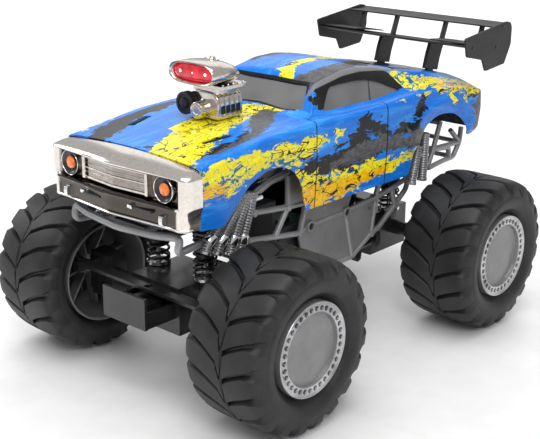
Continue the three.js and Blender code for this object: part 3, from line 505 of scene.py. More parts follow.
# painted shade: a darkened copy of the nickel plating for the sunk band behind the lamps and the rings inside the
# lamp bowls
NICKEL_PAINTED_SHADE = plated("nickel_painted_shade", (0.16, 0.138, 0.122), (0.09, 0.076, 0.066), 0.2)
BRIGHT = plated("bright_silver", (0.88, 0.88, 0.88), (0.6, 0.6, 0.6), 0.1)
LAMP_BOWL = moulded("lamp_bowl", (0.02, 0.022, 0.026), (0.05, 0.055, 0.06), 0.25, 0.02)
LAMP_ORANGE = glowing("lamp_orange", (0.95, 0.2, 0.02), 0.5)
LENS_RED = glowing("lens_red", (0.75, 0.012, 0.03), 0.55, speckle=9)
LAMP_WHITE = glowing("lamp_white", (1.0, 0.75, 0.72), 6.0)
TAIL_RED = glowing("tail_red", (0.3, 0.008, 0.012), 0.1)
WING_BLACK = moulded("wing_black", (0.014, 0.014, 0.015), (0.028, 0.028, 0.029), 0.5, 0.06)
PULLEY_BLACK = moulded("pulley_black", (0.03, 0.028, 0.028), (0.06, 0.056, 0.055), 0.35, 0.05, 0.8, 0.5)
BELT_BLACK = moulded("belt_black", (0.012, 0.012, 0.013), (0.03, 0.03, 0.03), 0.6, 0.08)
CHASSIS_GREY = moulded("chassis_dark", (0.022, 0.022, 0.024), (0.04, 0.04, 0.042), 0.5, 0.08)
FRAME_GREY = moulded("frame_silver_grey", (0.27, 0.27, 0.28), (0.36, 0.36, 0.37), 0.36, 0.04, 0.8, 0.35)
PLATE_GREY = moulded("frame_plate_grey", (0.2, 0.2, 0.205), (0.26, 0.26, 0.265), 0.42, 0.07, 0.8, 0.25)
STACK_GREY = moulded("stack_grey", (0.26, 0.26, 0.27), (0.4, 0.4, 0.41), 0.3, 0.04, 0.8, 0.7)
PACK_BLUE = moulded("pack_wrap", (0.02, 0.09, 0.36), (0.04, 0.14, 0.45), 0.3, 0.1, 4.0, 0.0, 0.4)
BOARD_GREEN = moulded("board_green", (0.008, 0.1, 0.04), (0.015, 0.16, 0.06), 0.4, 0.1, 1.5)
SWITCH_GREY = moulded("switch_grey", (0.2, 0.2, 0.2), (0.3, 0.3, 0.3), 0.45)
AXLE_BLACK = moulded("axle_black", (0.009, 0.009, 0.01), (0.02, 0.02, 0.021), 0.34, 0.06, 0.7, 0.0, 0.25)
SPRING_BLACK = moulded("spring_black", (0.012, 0.012, 0.012), (0.03, 0.03, 0.03), 0.25, 0.02, 0.6, 0.6, 0.3)
STEEL = plated("turned_steel", (0.62, 0.62, 0.63), (0.42, 0.42, 0.43), 0.22)
RUBBER = rubber()
RIM_GREY = moulded("rim_grey", (0.21, 0.21, 0.215), (0.27, 0.27, 0.275), 0.38, 0.03, 0.7, 0.4)
RIM_RING = moulded("rim_ring", (0.34, 0.34, 0.35), (0.62, 0.62, 0.63), 0.34, 0.12, 1.0, 0.75)
BOLT_GREY = moulded("bolt_grey", (0.12, 0.12, 0.125), (0.4, 0.4, 0.41), 0.3, 0.03, 0.7, 0.8)
# painted shade: near-black that stands in for the shade inside bores, bolt wells and ports and behind the grille
HOLE_SHADE = moulded("painted_hole_shade", (0.006, 0.006, 0.006), (0.012, 0.012, 0.012), 0.6)


# ---------- car shell ----------
SHELL_WALL = 1.2
BODY_HALF = 76
SHELL_FRONT, SHELL_REAR = -177.0, 208.6
LOWER_EDGE = [(-177, 86), (-152, 82.6), (-138, 97), (-124, 109.5), (-105, 116.5), (-88, 117), (-71, 109.5),
              (-62, 96), (-57, 73), (88, 72), (92, 82), (98, 98), (107, 113), (119, 120), (132, 122),
              (146, 121),
              (158, 118), (170, 111), (180, 100), (184.5, 91.5), (201, 94.6), (209, 97)]
BELT_LINE = [(-177, 133.5), (-101, 143), (-45, 145.5), (10, 144.3), (49, 144.3), (75, 146), (100, 147),
             (130, 146.5), (170, 142), (205, 134.5), (209, 132.5)]
RAIL_LINE = [(-45, 168), (-14, 169), (16, 175), (40, 175.5), (63, 172.5), (88, 167.5), (107, 161.5),
             (140, 156.5), (157, 153.5), (186, 148), (200, 143), (209, 137)]
HOOD_CROWN = [(-177, 3.5), (-100, 1.8), (-45, 1.2), (209, 1.2)]
ROOF_CROWN = 1.5
RAIL_X = 50
FOOT_LINE = [(60, 66.5), (130, 74)]
COWL_Y, COWL_SWEEP, COWL_X = -35, 10, 59
SCREEN_SLOPE, SCREEN_FOOT = 1.03, 143
DOOR_GAPS = (-45.5, 51.5)
FLARE = {"start": 91, "end": 182, "top": 137, "reach": 3.2}
SIDE_WINDOW = [(-24, 148), (-4, 164.6), (8, 165.4), (30, 165.4), (46, 164), (63, 159.6), (84, 150),
               (50, 147.5)]
WINDSCREEN = [(-54, -38), (0, -30), (54, -38), (41, -16), (0, -13), (-41, -16)]
REAR_WINDOW = [(-38, 66), (38, 66), (34, 120), (-34, 120)]
STRUT_X = 29


def follow(line, at):
    line = np.asarray(line, float)
    return np.interp(at, line[:, 0], line[:, 1])


def belt_x(y):
    return BODY_HALF - 3 * (np.maximum(0, y - 190) / 19) ** 2


def deck_height(x, y):
    return follow(BELT_LINE, y) + follow(HOOD_CROWN, y) * (1 - (x / BODY_HALF) ** 2)


def screen_height(x, y):
    return SCREEN_FOOT + (y - COWL_Y + COWL_SWEEP * (x / COWL_X) ** 2) * SCREEN_SLOPE


def skin_height(x, y):
    """The higher of the deck and the greenhouse, which is the lower of the roof and the windscreen plane."""
    roof = follow(RAIL_LINE, y) + ROOF_CROWN * (1 - (x / RAIL_X) ** 2)
    return np.maximum(deck_height(x, y), np.minimum(roof, screen_height(x, y)))


def half_sections(y, low):
    """Seven corners of the half section at every station: side, belt, foot of the glass, rail, roof."""
    belt, rail = follow(BELT_LINE, y), follow(RAIL_LINE, y)
    foot = np.minimum(follow(FOOT_LINE, y), belt_x(y) - 3)
    foot_z = deck_height(foot, y)
    corner = np.maximum(foot_z + 0.4, np.minimum(rail, screen_height(COWL_X - 6, y)))
    corner_x = foot - (corner - foot_z) * (foot - RAIL_X) / np.maximum(rail - foot_z, 8)
    inner = np.minimum(corner_x * 0.55, 30)
    x = [belt_x(y) - 1, belt_x(y) + 1, belt_x(y), foot, corner_x, inner, 0 * y]
    z = [low, (low + belt) / 2, belt, foot_z, np.maximum(skin_height(corner_x, y), foot_z + 0.2),
         skin_height(inner, y), skin_height(0 * y, y)]
    return np.stack([np.stack(x, 1), np.stack(z, 1)], -1)


def smooth_along(values, axis, rounds):
    """Each value moves towards the mean of its neighbours, `rounds` times; the ends stay."""
    values = np.moveaxis(values.copy(), axis, 0)
    for _ in range(rounds):
        values[1:-1] = (values[:-2] + 2 * values[1:-1] + values[2:]) / 4
    return np.moveaxis(values, 0, axis)


def shell_stations():
    """Stations along the car, closer where the lower edge is steep and at the door gaps."""
    fine = [np.arange(-64, -54, 1.0), np.arange(86, 112, 1.3), np.arange(178, 187, 1.3)]
    gaps = [gap + offset for gap in DOOR_GAPS for offset in (-0.9, -0.45, 0.0, 0.45, 0.9)]
    every = np.concatenate([np.arange(SHELL_FRONT, SHELL_REAR, 2.4), *fine, gaps, [SHELL_REAR]])
    every = np.unique(np.round(every, 2))
    keep = np.concatenate([[True], np.diff(every) > 0.4])
    return every[keep]


SEGMENT_STEPS = (11, 11, 4, 14, 11, 13)


def shell_surface():
    """Outer skin: the half section's corners joined by straight steps, rounded along it, mirrored, and pushed out
    at the rear arch flare and in at the door gaps."""
    y = shell_stations()
    low = smooth_along(follow(LOWER_EDGE, y), 0, 2)
    corners = half_sections(y, low)
    parts = []
    for k, steps in enumerate(SEGMENT_STEPS):
        share = np.arange(steps)[None, :, None] / steps
        parts.append(corners[:, k, None] * (1 - share) + corners[:, k + 1, None] * share)
    half = np.concatenate([*parts, corners[:, -1:]], axis=1)
    half = np.concatenate([half, half[:, -2:-8:-1] * [-1, 1]], axis=1)
    half = smooth_along(half, 1, 3)[:, :-6]
    half[:, -1, 0] = 0
    half = smooth_along(half, 0, 2)
    x, z = half[..., 0], half[..., 1]
    along = np.broadcast_to(y[:, None], x.shape)
    x = x + flare_bulge(along, z) - groove_depth(along, z)
    skin = np.stack([x, along, z], -1)
    other = skin[:, -2::-1] * [-1, 1, 1]
    return np.concatenate([skin, other], axis=1)


def arch_distance(y, z):
    """Distance from the rear wheel arch's curve, taken as a half ellipse."""
    middle = (FLARE["start"] + FLARE["end"]) / 2
    reach = (FLARE["end"] - FLARE["start"]) / 2
    return (np.hypot((y - middle) / (reach + 3), (z - 90) / 34) - 1) * 34


def flare_bulge(y, z):
    """A raised lip round the rear arch: full beside the arch, gone 15 mm away, only on the side below the belt."""
    away = arch_distance(y, z)
    rise = np.clip(1 - (away - 8) / 7, 0, 1)
    below = np.clip((follow(BELT_LINE, y) - 3 - z) / 5, 0, 1)
    above = np.clip((z - 92) / 8, 0, 1)
    near = (y > FLARE["start"] - 14) & (y < FLARE["end"] + 12)
    return FLARE["reach"] * rise * rise * (3 - 2 * rise) * below * above * near


def groove_depth(y, z):
    side = (z < follow(BELT_LINE, y) - 0.5) & (z > 74)
    groove = sum(np.clip(1 - np.abs(y - gap) / 0.46, 0, 1) for gap in DOOR_GAPS)
    return 0.8 * groove * side


def inwards(grid, distance):
    """The grid moved along its own normals, which are the cross products of its two directions."""
    along, across = np.gradient(grid, axis=0), np.gradient(grid, axis=1)
    normal = np.cross(across, along)
    normal /= np.linalg.norm(normal, axis=2, keepdims=True) + 1e-9
    inside = grid - np.array([0, 20, 60])
    if np.mean(np.sum(normal * inside, -1)) > 0:
        normal = -normal
    return grid + normal * distance


def prism(name, outline, low, high, axis):
    return linked(name, mesh_of(name, slab(outline, low, high, axis)))


def cut_out(target, cutters):
    """Cuts every cutter out of the target's mesh and removes the cutters."""
    for cutter in cutters:
        knife = target.modifiers.new("cut", "BOOLEAN")
        knife.operation, knife.solver, knife.object = "DIFFERENCE", "EXACT", cutter
    solved = bpy.data.meshes.new_from_object(target.evaluated_get(bpy.context.evaluated_depsgraph_get()))
    target.modifiers.clear()
    old, target.data = target.data, solved
    bpy.data.meshes.remove(old)
    for cutter in cutters:
        bpy.data.objects.remove(cutter)


def circle(x, y, radius, count=28):
    turn = np.linspace(0, 2 * math.pi, count, endpoint=False)
    return np.column_stack([x + radius * np.cos(turn), y + radius * np.sin(turn)])


def hood_vents():
    """The two slanted vent slots behind the nose, as (x, y) outlines."""
    vent = [(44, -142), (38, -140), (44, -114), (50, -116)]
    return [rounded(vent, 1.2), rounded([(-x, y) for x, y in vent][::-1], 1.2)]


# Each paint stroke is (a0, b0, a1, b1, r0, r1): a line between two places with a radius at each end.
SIDE_STROKES = {
    "yellow": [(-182, 122, -150, 121, 10, 14), (-150, 122, -120, 126, 14, 10), (-120, 124, -98, 126, 9, 8),
               (-98, 126, -75, 125, 8, 9), (-75, 124, -50, 128, 10, 7), (-50, 129, -32, 129, 6, 3),
               (-18, 131, -12, 131, 4, 3), (-66, 112, -57, 100, 4, 3),
               (-56, 88, -10, 85, 14, 13), (-10, 85, 40, 88, 13, 8), (40, 88, 99, 93, 7, 4),
               (86, 160, 112, 152, 7, 7), (112, 151, 150, 147, 7, 6), (150, 146, 200, 139, 7, 7),
               (152, 141, 153, 132, 3, 1.5), (172, 138, 174, 128, 3, 1), (58, 149, 100, 149, 2, 4)],
    "amber": [(-178, 112, -156, 112, 7, 6), (-56, 84, -5, 82, 10, 9), (-5, 83, 50, 86, 8, 4),
              (128, 152, 200, 143, 4, 4)],
    "ink": [(-90, 132, -30, 132, 8, 8), (-56, 108, 60, 112, 16, 14), (60, 112, 110, 122, 12, 10),
            (-52, 84, 60, 88, 6, 6), (120, 140, 200, 134, 6, 8)],
    "grey": [(-26, 104, 10, 108, 4, 8), (10, 108, 48, 111, 8, 8), (50, 108, 96, 106, 8, 8),
             (196, 118, 210, 125, 6, 16),
             (198, 100, 210, 100, 8, 10)],
    "black": [(-56, 106, -20, 106, 9, 10), (-20, 107, 12, 109, 11, 12), (12, 110, 46, 110, 11, 9),
              (2, 118, 18, 130, 7, 7), (18, 131, 36, 129, 7, 7), (36, 127, 56, 115, 6, 5),
              (60, 114, 92, 120, 6, 6), (95, 122, 106, 141, 2, 5), (186, 134, 206, 132, 5, 9),
              (190, 112, 206, 118, 5, 10), (188, 98, 192, 94, 2, 3), (-26, 156, -12, 169, 4, 4)],
    "azure": [(-34, 147, -26, 151, 3, 3), (42, 171, 52, 168, 2, 2.5), (22, 169, 30, 169, 1.5, 1.5),
              (-6, 145.8, 8, 145.8, 1, 1), (58, 147, 66, 149, 1, 1)],
}
TOP_STROKES = {
    "yellow": [(44, -178, 16, -112, 20, 24), (16, -112, 2, -45, 24, 12), (64, -196, 50, -150, 10, 6),
               (-76, -176, -76, -140, 6, 5), (24, -32, 2, 5, 9, 7), (2, 5, 6, 66, 6, 5),
               (2, 60, -20, 66, 6, 4),
               (60, 92, 66, 130, 7, 8), (66, 130, 70, 200, 9, 9), (-60, 92, -66, 130, 7, 8),
               (-66, 130, -70, 200, 9, 9)],
    "amber": [(72, 140, 74, 205, 6, 7), (-72, 140, -74, 205, 6, 7)],
    "ink": [(30, -180, 0, -45, 40, 40), (20, -30, 4, 70, 30, 30)],
    "grey": [(28, -56, 62, -100, 12, 7), (62, -100, 70, -160, 5, 3), (36, -18, 42, 24, 15, 9),
             (-20, -50, 24, -52, 8, 10), (-34, 62, -50, 20, 8, 4)],
    "black": [(-72, -66, -64, -120, 13, 15), (-64, -120, -40, -180, 14, 9), (-40, -180, -20, -182, 6, 2),
              (58, -176, 62, -116, 4, 4), (62, -116, 48, -95, 4, 3), (36, 58, 40, 22, 10, 7),
              (-46, 10, -40, 52, 5, 6), (-24, 130, 24, 130, 14, 14), (0, 130, 0, 200, 34, 40),
              (6, -176, 26, -160, 2, 3)],
    "azure": [(46, -40, 58, -44, 6, 6), (20, 120, 26, 150, 3, 2)],
}
WINDOW_TRIM = [(-34, 145), (-12, 172), (8, 176), (38, 176), (60, 173), (80, 165), (89, 151.5),
               (60, 146.2), (0, 146)]


def stroke_field(a, b, strokes):
    """Millimetres inside the nearest of some tapered strokes; negative outside."""
    best = np.full(a.shape, -60.0)
    for a0, b0, a1, b1, r0, r1 in strokes:
        length = (a1 - a0) ** 2 + (b1 - b0) ** 2
        share = np.clip(((a - a0) * (a1 - a0) + (b - b0) * (b1 - b0)) / length, 0, 1)
        gap = np.hypot(a - a0 - share * (a1 - a0), b - b0 - share * (b1 - b0))
        best = np.maximum(best, r0 + (r1 - r0) * share - gap)
    return best


def within(a, b, outline):
    """True where a point lies inside a closed outline, by counting the sides that it sees on its right."""
    outline = np.asarray(outline, float)
    found = np.zeros(a.shape, bool)
    for (a0, b0), (a1, b1) in zip(outline, np.roll(outline, -1, axis=0)):
        if b0 != b1:
            found ^= ((b0 > b) != (b1 > b)) & (a < (a1 - a0) * (b - b0) / (b1 - b0) + a0)
    return found


def outline_distance(a, b, outline):
    """Distance from each point to a closed outline."""
    outline = np.asarray(outline, float)
    best = np.full(a.shape, 99.0)
    for (a0, b0), (a1, b1) in zip(outline, np.roll(outline, -1, axis=0)):
        length = (a1 - a0) ** 2 + (b1 - b0) ** 2
        share = np.clip(((a - a0) * (a1 - a0) + (b - b0) * (b1 - b0)) / length, 0, 1)
        best = np.minimum(best, np.hypot(a - a0 - share * (a1 - a0), b - b0 - share * (b1 - b0)))
    return best


def paint_fields(mesh):
    """Writes the livery's fields, which change from the side's strokes to the top's across the belt and rail."""
    x, y, z = design_points(mesh)
    belt = follow(BELT_LINE, y)
    house = np.clip((np.abs(x) - (RAIL_X - 2)) / 3, 0, 1) * np.clip((z - belt - 2.5) / 2, 0,
                                                                    1) * (y > -40) * (y < 125)
    side = np.maximum(np.clip((belt - z) / 1.5 + 0.5, 0, 1), house)
    fields = {}
    for name in SIDE_STROKES:
        on_side = stroke_field(y, z, SIDE_STROKES[name])
        on_top = stroke_field(x, y, TOP_STROKES[name])
        fields[name] = on_side * side + on_top * (1 - side)
    around = [outline_distance(x, y, outline) + side * 60 for outline in (WINDSCREEN, REAR_WINDOW)]
    edge = outline_distance(y, z, WINDOW_TRIM) * np.where(within(y, z, WINDOW_TRIM), 1,
                                                          -1) - (1 - house) * 60
    fields["trim"] = np.where(z > belt - 1, np.maximum(2.2 - np.minimum.reduce(around), edge), -9)
    fields["rail"] = np.where((y > -28) & (y < 92) & (z > belt + 3),
                              2.0 - np.abs(np.abs(x) - RAIL_X - 0.2), -9)
    gaps = np.min([np.abs(y - gap) for gap in DOOR_GAPS], axis=0)
    fields["line"] = np.where((z < belt + 1) & (np.abs(x) > 60), gaps - 0.1, 9.0)
    for name, values in fields.items():
        write_field(mesh, name, values)


def car_shell():
    outer = shell_surface()
    mesh = mesh_of("painted_shell", thick(outer, inwards(outer, SHELL_WALL)))
    shell = settle("painted_shell", mesh, None, PAINT, (), 34, 0)
    cutters = [prism("cut_side", rounded(SIDE_WINDOW, 4), side * 51, side * 84, "x") for side in (1, -1)]
    cutters += [prism("cut_screen", rounded(WINDSCREEN, 4), 138, 190, "z"),
                prism("cut_rear", rounded(REAR_WINDOW, 4), 138, 190, "z"),
                prism("cut_hood", circle(0, -88, 9), 120, 165, "z")]
    cutters += [prism("cut_vent", outline, 120, 165, "z") for outline in hood_vents()]
    cutters += [prism("cut_strut", [(x - 2.2, 172), (x + 2.2, 172), (x + 2.2, 196), (x - 2.2, 196)], 138,
                      160, "z")
                for x in (STRUT_X, -STRUT_X)]
    cut_out(shell, cutters)
    soften(shell.data, 34)
    paint_fields(shell.data)
    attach(shell, "chassis")
    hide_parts("body_shell")


TAIL_INSET = 1.4


def tail_panel():
    """The flat tail, following the shell's last section, with two sunk lamp strips and a plate between them."""
    y = np.array([SHELL_REAR - 1.6])
    half = half_sections(y, follow(LOWER_EDGE, y))[0] - TAIL_INSET
    ring = np.vstack([half, half[-2::-1] * [-1, 1]])
    panel = slab(rounded(ring, 2, 3), SHELL_REAR - 3, SHELL_REAR - 1.2, "y")
    made = piece("tail_panel", panel, "chassis", "body_paint", PAINT, crease=30, edge=0.3)
    paint_fields(made.data)
    strips, ribs = [], []
    for side in (1, -1):
        outline = rounded([(side * 18, 113), (side * 62, 112), (side * 60, 123), (side * 20, 124)], 2.5)
        strips.append(slab(outline, SHELL_REAR - 1.1, SHELL_REAR + 2.2, "y"))
        for k in range(5):
            x = side * (25 + 7.5 * k)
            ribs.append(block(x - 0.6, x + 0.6, SHELL_REAR + 1.9, SHELL_REAR + 2.9, 112.6, 123.4))
    piece("tail_lamps", joined(*strips), "chassis", "tail_lamp", TAIL_RED, ("tail_light_panel",), edge=0.5)
    piece("tail_lamp_ribs", joined(*ribs), "chassis", "bright_plating", NICKEL, edge=0.2)
    outline = rounded([(-15, 113), (15, 113), (14, 123), (-14, 123)], 2)
    piece("tail_centre", slab(outline, SHELL_REAR - 1.1, SHELL_REAR + 1.4, "y"), "chassis", "matt_black",
          WING_BLACK, edge=0.4)


def window_panes():
    """Grey panes 1.4 mm under the skin, over the greenhouse only, each side pane split by a leaning divider."""
    outer = shell_surface()
    y = outer[:, 0, 1]
    first = sum(SEGMENT_STEPS[:3]) + 1
    rows = (y > -42) & (y < 122)
    part = outer[rows][:, first:-first]
    panes = thick(inwards(part, SHELL_WALL + 0.2), inwards(part, SHELL_WALL + 1.2))
    piece("window_panes", panes, "chassis", "glazing", GLAZING, ("window_insert",), crease=50)
    bars = []
    for side in (1, -1):
        top, foot = [side * 53.6, 50, 163.6], [side * 64.2, 40.6, 146.4]
        bars.append(tube(dense(np.array([top, foot]), 3), 0.9, 10))
    piece("window_dividers", joined(*bars), "chassis", "matt_black", WING_BLACK)


# ---------- nose ----------
NOSE_Y = -194.6
NOSE_REACH = 6.4
NOSE_CORNER = 7.0
LAMP_X, LAMP_Z = 53.9, 117.2
SUNK = 2.4


def nose_plan(share):
    """Plan of the nose from the truck's right (-1) to its left (1): a shallow V, round corners, short sides."""
    front = BODY_HALF - NOSE_CORNER
    outline = np.array([(-BODY_HALF, -177.6), (-BODY_HALF, NOSE_Y + NOSE_CORNER)]
                       + [(-front - NOSE_CORNER * math.cos(t),
                           NOSE_Y + NOSE_CORNER - NOSE_CORNER * math.sin(t))
                          for t in np.linspace(0.15, math.pi / 2, 7)]
                       + [(-front * k, NOSE_Y - NOSE_REACH * (1 - k)) for k in (0.8, 0.6, 0.4, 0.2, 0.04)])
    outline = np.vstack([outline, outline[::-1] * [-1, 1]])
    reach = np.concatenate([[0], np.cumsum(np.linalg.norm(np.diff(outline, axis=0), axis=1))])
    at = (share + 1) / 2 * reach[-1]
    return np.stack([np.interp(at, reach, outline[:, k]) for k in (0, 1)], -1)


def nose_y(x):
    return NOSE_Y - NOSE_REACH * (1 - np.abs(x) / (BODY_HALF - NOSE_CORNER))


def face_y(x):
    """The sunk band's own plan, behind the outline, that the lamps and the grille stand on."""
    return nose_y(x) + SUNK


# Height, and how far towards the plan outline the skin stands: 0 at the hood edge, 1 at the outline.
NOSE_RISE = [(134.2, 0.0), (134.0, 0.2), (132.8, 0.55), (130.6, 0.86), (129.4, 0.97), (128.4, 1.0),
             (127.6, 0.99),
             (127.2, 0.96), (127.0, 0.68), (126.4, 0.64), (120, 0.64), (113, 0.64), (107.4, 0.64),
             (106.6, 0.68),
             (106.4, 0.95), (106.0, 1.04), (104.8, 1.06), (103.9, 1.04), (103.6, 0.97), (102.5, 0.95),
             (98, 0.97),
             (93, 0.95), (90.8, 0.94), (90.4, 0.99), (89.4, 1.0), (88.6, 0.97), (88.5, 0.9)]


def nose_skin():
    """Every column runs down the rise table, between the hood edge line and the plan outline; the sunk band is
    only sunk on the front, not round the corners."""
    share = np.concatenate([np.linspace(-1, -0.7, 26), np.linspace(-0.69, 0.69, 70),
                            np.linspace(0.7, 1, 26)])
    plan = nose_plan(share)
    core = np.column_stack([plan[:, 0] * 0.93, np.full(len(plan), -177.4)])
    rise = np.array(NOSE_RISE)
    reach = np.repeat(rise[:, 1][None], len(share), 0)
    front = np.clip((BODY_HALF - 8.5 - np.abs(plan[:, 0])) / 1.0, 0, 1)[:, None]
    plain = np.where(rise[:, 0] < 128, 1.0, rise[:, 1])[None]
    reach = reach * front + np.minimum(plain, 1.0) * (1 - front)
    across = core[:, None] * (1 - reach[..., None]) + plan[:, None] * reach[..., None]
    flare = 1 + 0.033 * np.clip((rise[:, 0] - 100) / 5, 0, 1) * np.clip((134 - rise[:, 0]) / 6, 0, 1)
    across[..., 0] *= flare[None]
    height = rise[:, 0][None] - 0.5 * (np.abs(plan[:, 0]) / BODY_HALF)[:, None] ** 2
    crown = follow(HOOD_CROWN, SHELL_FRONT) * (1 - (plan[:, 0] / BODY_HALF) ** 2)
    height = height + (crown[:, None] - 1.5) * np.clip((rise[:, 0] - 127) / 7, 0, 1)
    return np.concatenate([across, height[..., None]], -1)


def nose():
    outer = nose_skin()
    inner = outer.copy()
    inner[..., 0] *= 0.965
    inner[..., 1] = np.minimum(inner[..., 1] + 2.2, -176.0)
    inner[..., 2] = np.minimum(inner[..., 2] - 1.4, 128)
    inner[:, -1, 2] = outer[:, -1, 2]
    made = piece("nose_plating", thick(outer, inner), "chassis", "bright_plating", NOSE_NICKEL,
                 ("grille_fascia",),
                 crease=40)
    x, y, z = design_points(made.data)
    # painted shade: the field shade marks the front faces below the cap, which the nose plating paints in its
    # darker tone
    front = np.clip((127.6 - z) / 0.4, 0, 1) * np.clip((68.5 - np.abs(x)) / 1.0, 0,
                                                       1) * np.clip((z - 89.5) / 1, 0, 1)
    write_field(made.data, "shade", front)
    face, frames, bars = [], [], []
    sunk = 3.4
    for side in (1, -1):
        edge = [(x, face_y(x)) for x in (34.5, 44, 54, 63.5)]
        outline = [(side * x, y + sunk) for x, y in edge] + [(side * x, y + sunk + 1.2) for x,
                                                             y in edge[::-1]]
        face.append(slab(outline, 108, 126, "z"))
        for z in (123.2, 118, 112.6, 109.4):
            x = side * 65.6
            face.append(lathe([(0, 0.01), (0, 0.7), (0.8, 0.5), (0.9, 0.01)], 8, (x, face_y(x) + 1.6, z),
                              "y"))
        x = side * 36.0
        frames.append(block(x - 1.6, x + 1.6, face_y(x) + 0.4, face_y(x) + 4, 108.4, 126))
    # the sunk lamp band is painted in the darkened plating as painted shade
    piece("nose_lamp_panels", joined(*face), "chassis", "bright_plating", NICKEL_PAINTED_SHADE, edge=0.3)
    frames += grille_frame()
    piece("grille_surround", joined(*frames), "chassis", "bright_plating", NICKEL, edge=0.35)
    for k in range(-30, 31):
        x = k * 1.08
        bars.append(block(x - 0.27, x + 0.27, face_y(x) + 3.0, face_y(x) + 4.4, 109.6, 125))
    piece("grille_bars", joined(*bars), "chassis", "bright_plating", NICKEL)
    # a near-black sheet behind the grille bars: painted shade standing in for the dark hollow behind the grille
    back = [(x, face_y(x) + 5.0) for x in (-35, 0, 35)]
    back = back + [(x, y + 1) for x, y in back[::-1]]
    piece("grille_back", slab(back, 108.6, 126, "z"), "chassis", "belt_black", HOLE_SHADE)


# Height of each long bar of the grille, half its height and how far it stands in front of the bars' backs.
GRILLE_RAILS = [(125.2, 0.9, 2.2), (121.0, 0.35, 2.7), (117.2, 0.6, 2.2), (113.6, 0.35, 2.7),
                (109.4, 1.0, 2.0)]


def grille_frame():
    """Three long V-shaped bars across the grille and its top and bottom edges."""
    parts = []
    for z, half, out in GRILLE_RAILS:
        front = [(x, face_y(x) + out) for x in (-34.5, 0, 34.5)]
        back = [(x, face_y(x) + 3.6) for x in (34.5, 0, -34.5)]
        parts.append(slab(front + back, z - half, z + half, "z"))
    return parts


def lamps():
    for name in SIDES:
        x = SIGN[name] * LAMP_X
        y = float(face_y(LAMP_X))
        centre = (x, y, LAMP_Z)
        ring = [(3.2, 9.5), (-0.2, 9.5), (-0.7, 9.7), (-0.8, 9.9), (-0.6, 10.2), (0.2, 10.3), (3.2, 10.3)]
        piece(f"lamp_ring_{name}", lathe(ring, 56, centre, "y", ring=True), "chassis", "bright_plating",
              BRIGHT, crease=50)
        bowl = [(3.2, 9.3), (0.2, 9.3), (0.1, 8.7), (1.2, 7.4), (2.0, 5.6), (2.0, 0.02), (5.2, 0.02),
                (5.2, 9.3)]
        piece(f"lamp_bowl_{name}", lathe(bowl, 56, centre, "y"), "chassis", "orange_lamp", LAMP_BOWL,
              (f"headlight_{name}",), crease=30)
        inner = [(2.0, 5.5), (1.0, 5.6), (0.8, 5.3), (1.0, 5.0), (2.0, 5.0)]
        # the ring inside the bowl is painted in the darkened plating as painted shade
        piece(f"lamp_inner_ring_{name}", lathe(inner, 48, centre, "y", ring=True), "chassis",
              "bright_plating", NICKEL_PAINTED_SHADE)
        turn = np.linspace(0, math.pi / 2, 9)
        lens = [(2.0, 4.8), (0.6, 4.8)] + [(0.6 - 1.6 * math.sin(t),
                                            4.8 * math.cos(t) + 0.01) for t in turn]
        piece(f"lamp_lens_{name}", lathe(lens, 48, centre, "y"), "chassis", "orange_lamp", LAMP_ORANGE,
              crease=60)


def bumper_guards():
    """Two upright guards, two dark slots with a bright tab at the left end of each as a painted highlight, and a
    bright lower lip.
    """
    guards, slots = [], []
    for side, highlight_at, slot_at in ((1, 23, 35), (-1, -33, -22)):
        x = side * 55
        y = float(nose_y(55))
        outline = rounded([(y + 2, 90), (y - 2.4, 90.5), (y - 3, 94), (y - 2.6, 98), (y + 2, 99)], 1.0)
        guards.append(slab(outline, x - 2, x + 2, "x"))
        y = float(nose_y(abs(slot_at)))
        outline = rounded(rectangle(slot_at - 10, slot_at + 10, 97.6, 99.4), 0.8)
        slots.append(slab(outline, y - 1.0, y + 2.5, "y"))
        # the bright tab at the slot's left end is a painted highlight: it stands in for a reflection on the slot's
        # end, not a lamp
        y = float(nose_y(abs(highlight_at)))
        guards.append(slab(rounded([(highlight_at - 3, 98.0), (highlight_at + 3, 97.4), (highlight_at + 2, 100.4),
                                    (highlight_at - 2.4, 100.4)], 0.8), y - 1.3, y + 2.5, "y"))
    piece("bumper_guards", joined(*guards), "chassis", "bright_plating", BRIGHT, edge=0.6)
    piece("bumper_slots", joined(*slots), "chassis", "matt_black", LAMP_BOWL, edge=0.3)
    lip = nose_plan(np.linspace(-0.9, 0.9, 60))
    centre = np.column_stack([lip[:, 0], lip[:, 1] + 0.4, np.full(len(lip), 89.3)])
    piece("bumper_lip", tube(centre, 0.75, 8), "chassis", "bright_plating", BRIGHT)
    crease = np.column_stack([lip[:, 0], lip[:, 1] + 0.1, np.full(len(lip), 105.1)])
    piece("bumper_top_edge", tube(crease, 0.8, 8), "chassis", "bright_plating", BRIGHT)


# ---------- blower and scoop ----------
CASE = {"half": 17.9, "front": -99.0, "rear": -70.0, "low": 147.5, "top": 168.5}
BAYS = 5
SNOUT = (2.0, 153.6)
PULLEY = (-15.0, 156.6)


def case_section(width, low, top, count=40):
    """Half-round topped section of the case as (x, z): straight sides below, a flattened arch above."""
    turn = np.linspace(0, math.pi, count - 2)
    arch_x = width * np.sign(np.cos(turn)) * np.abs(np.cos(turn)) ** 0.5
    arch_z = low + (top - low) * (0.5 + 0.5 * np.sin(turn) ** 0.85)
    return np.vstack([[width, low], np.column_stack([arch_x, arch_z]), [-width, low]])


def stud(x, y, z, radius, height, sides=6):
    profile = [(-0.3, 0.01), (-0.3, radius), (height * 0.8, radius), (height, radius * 0.75),
               (height, 0.01)]
    return lathe(profile, sides, (x, y, z), "z")


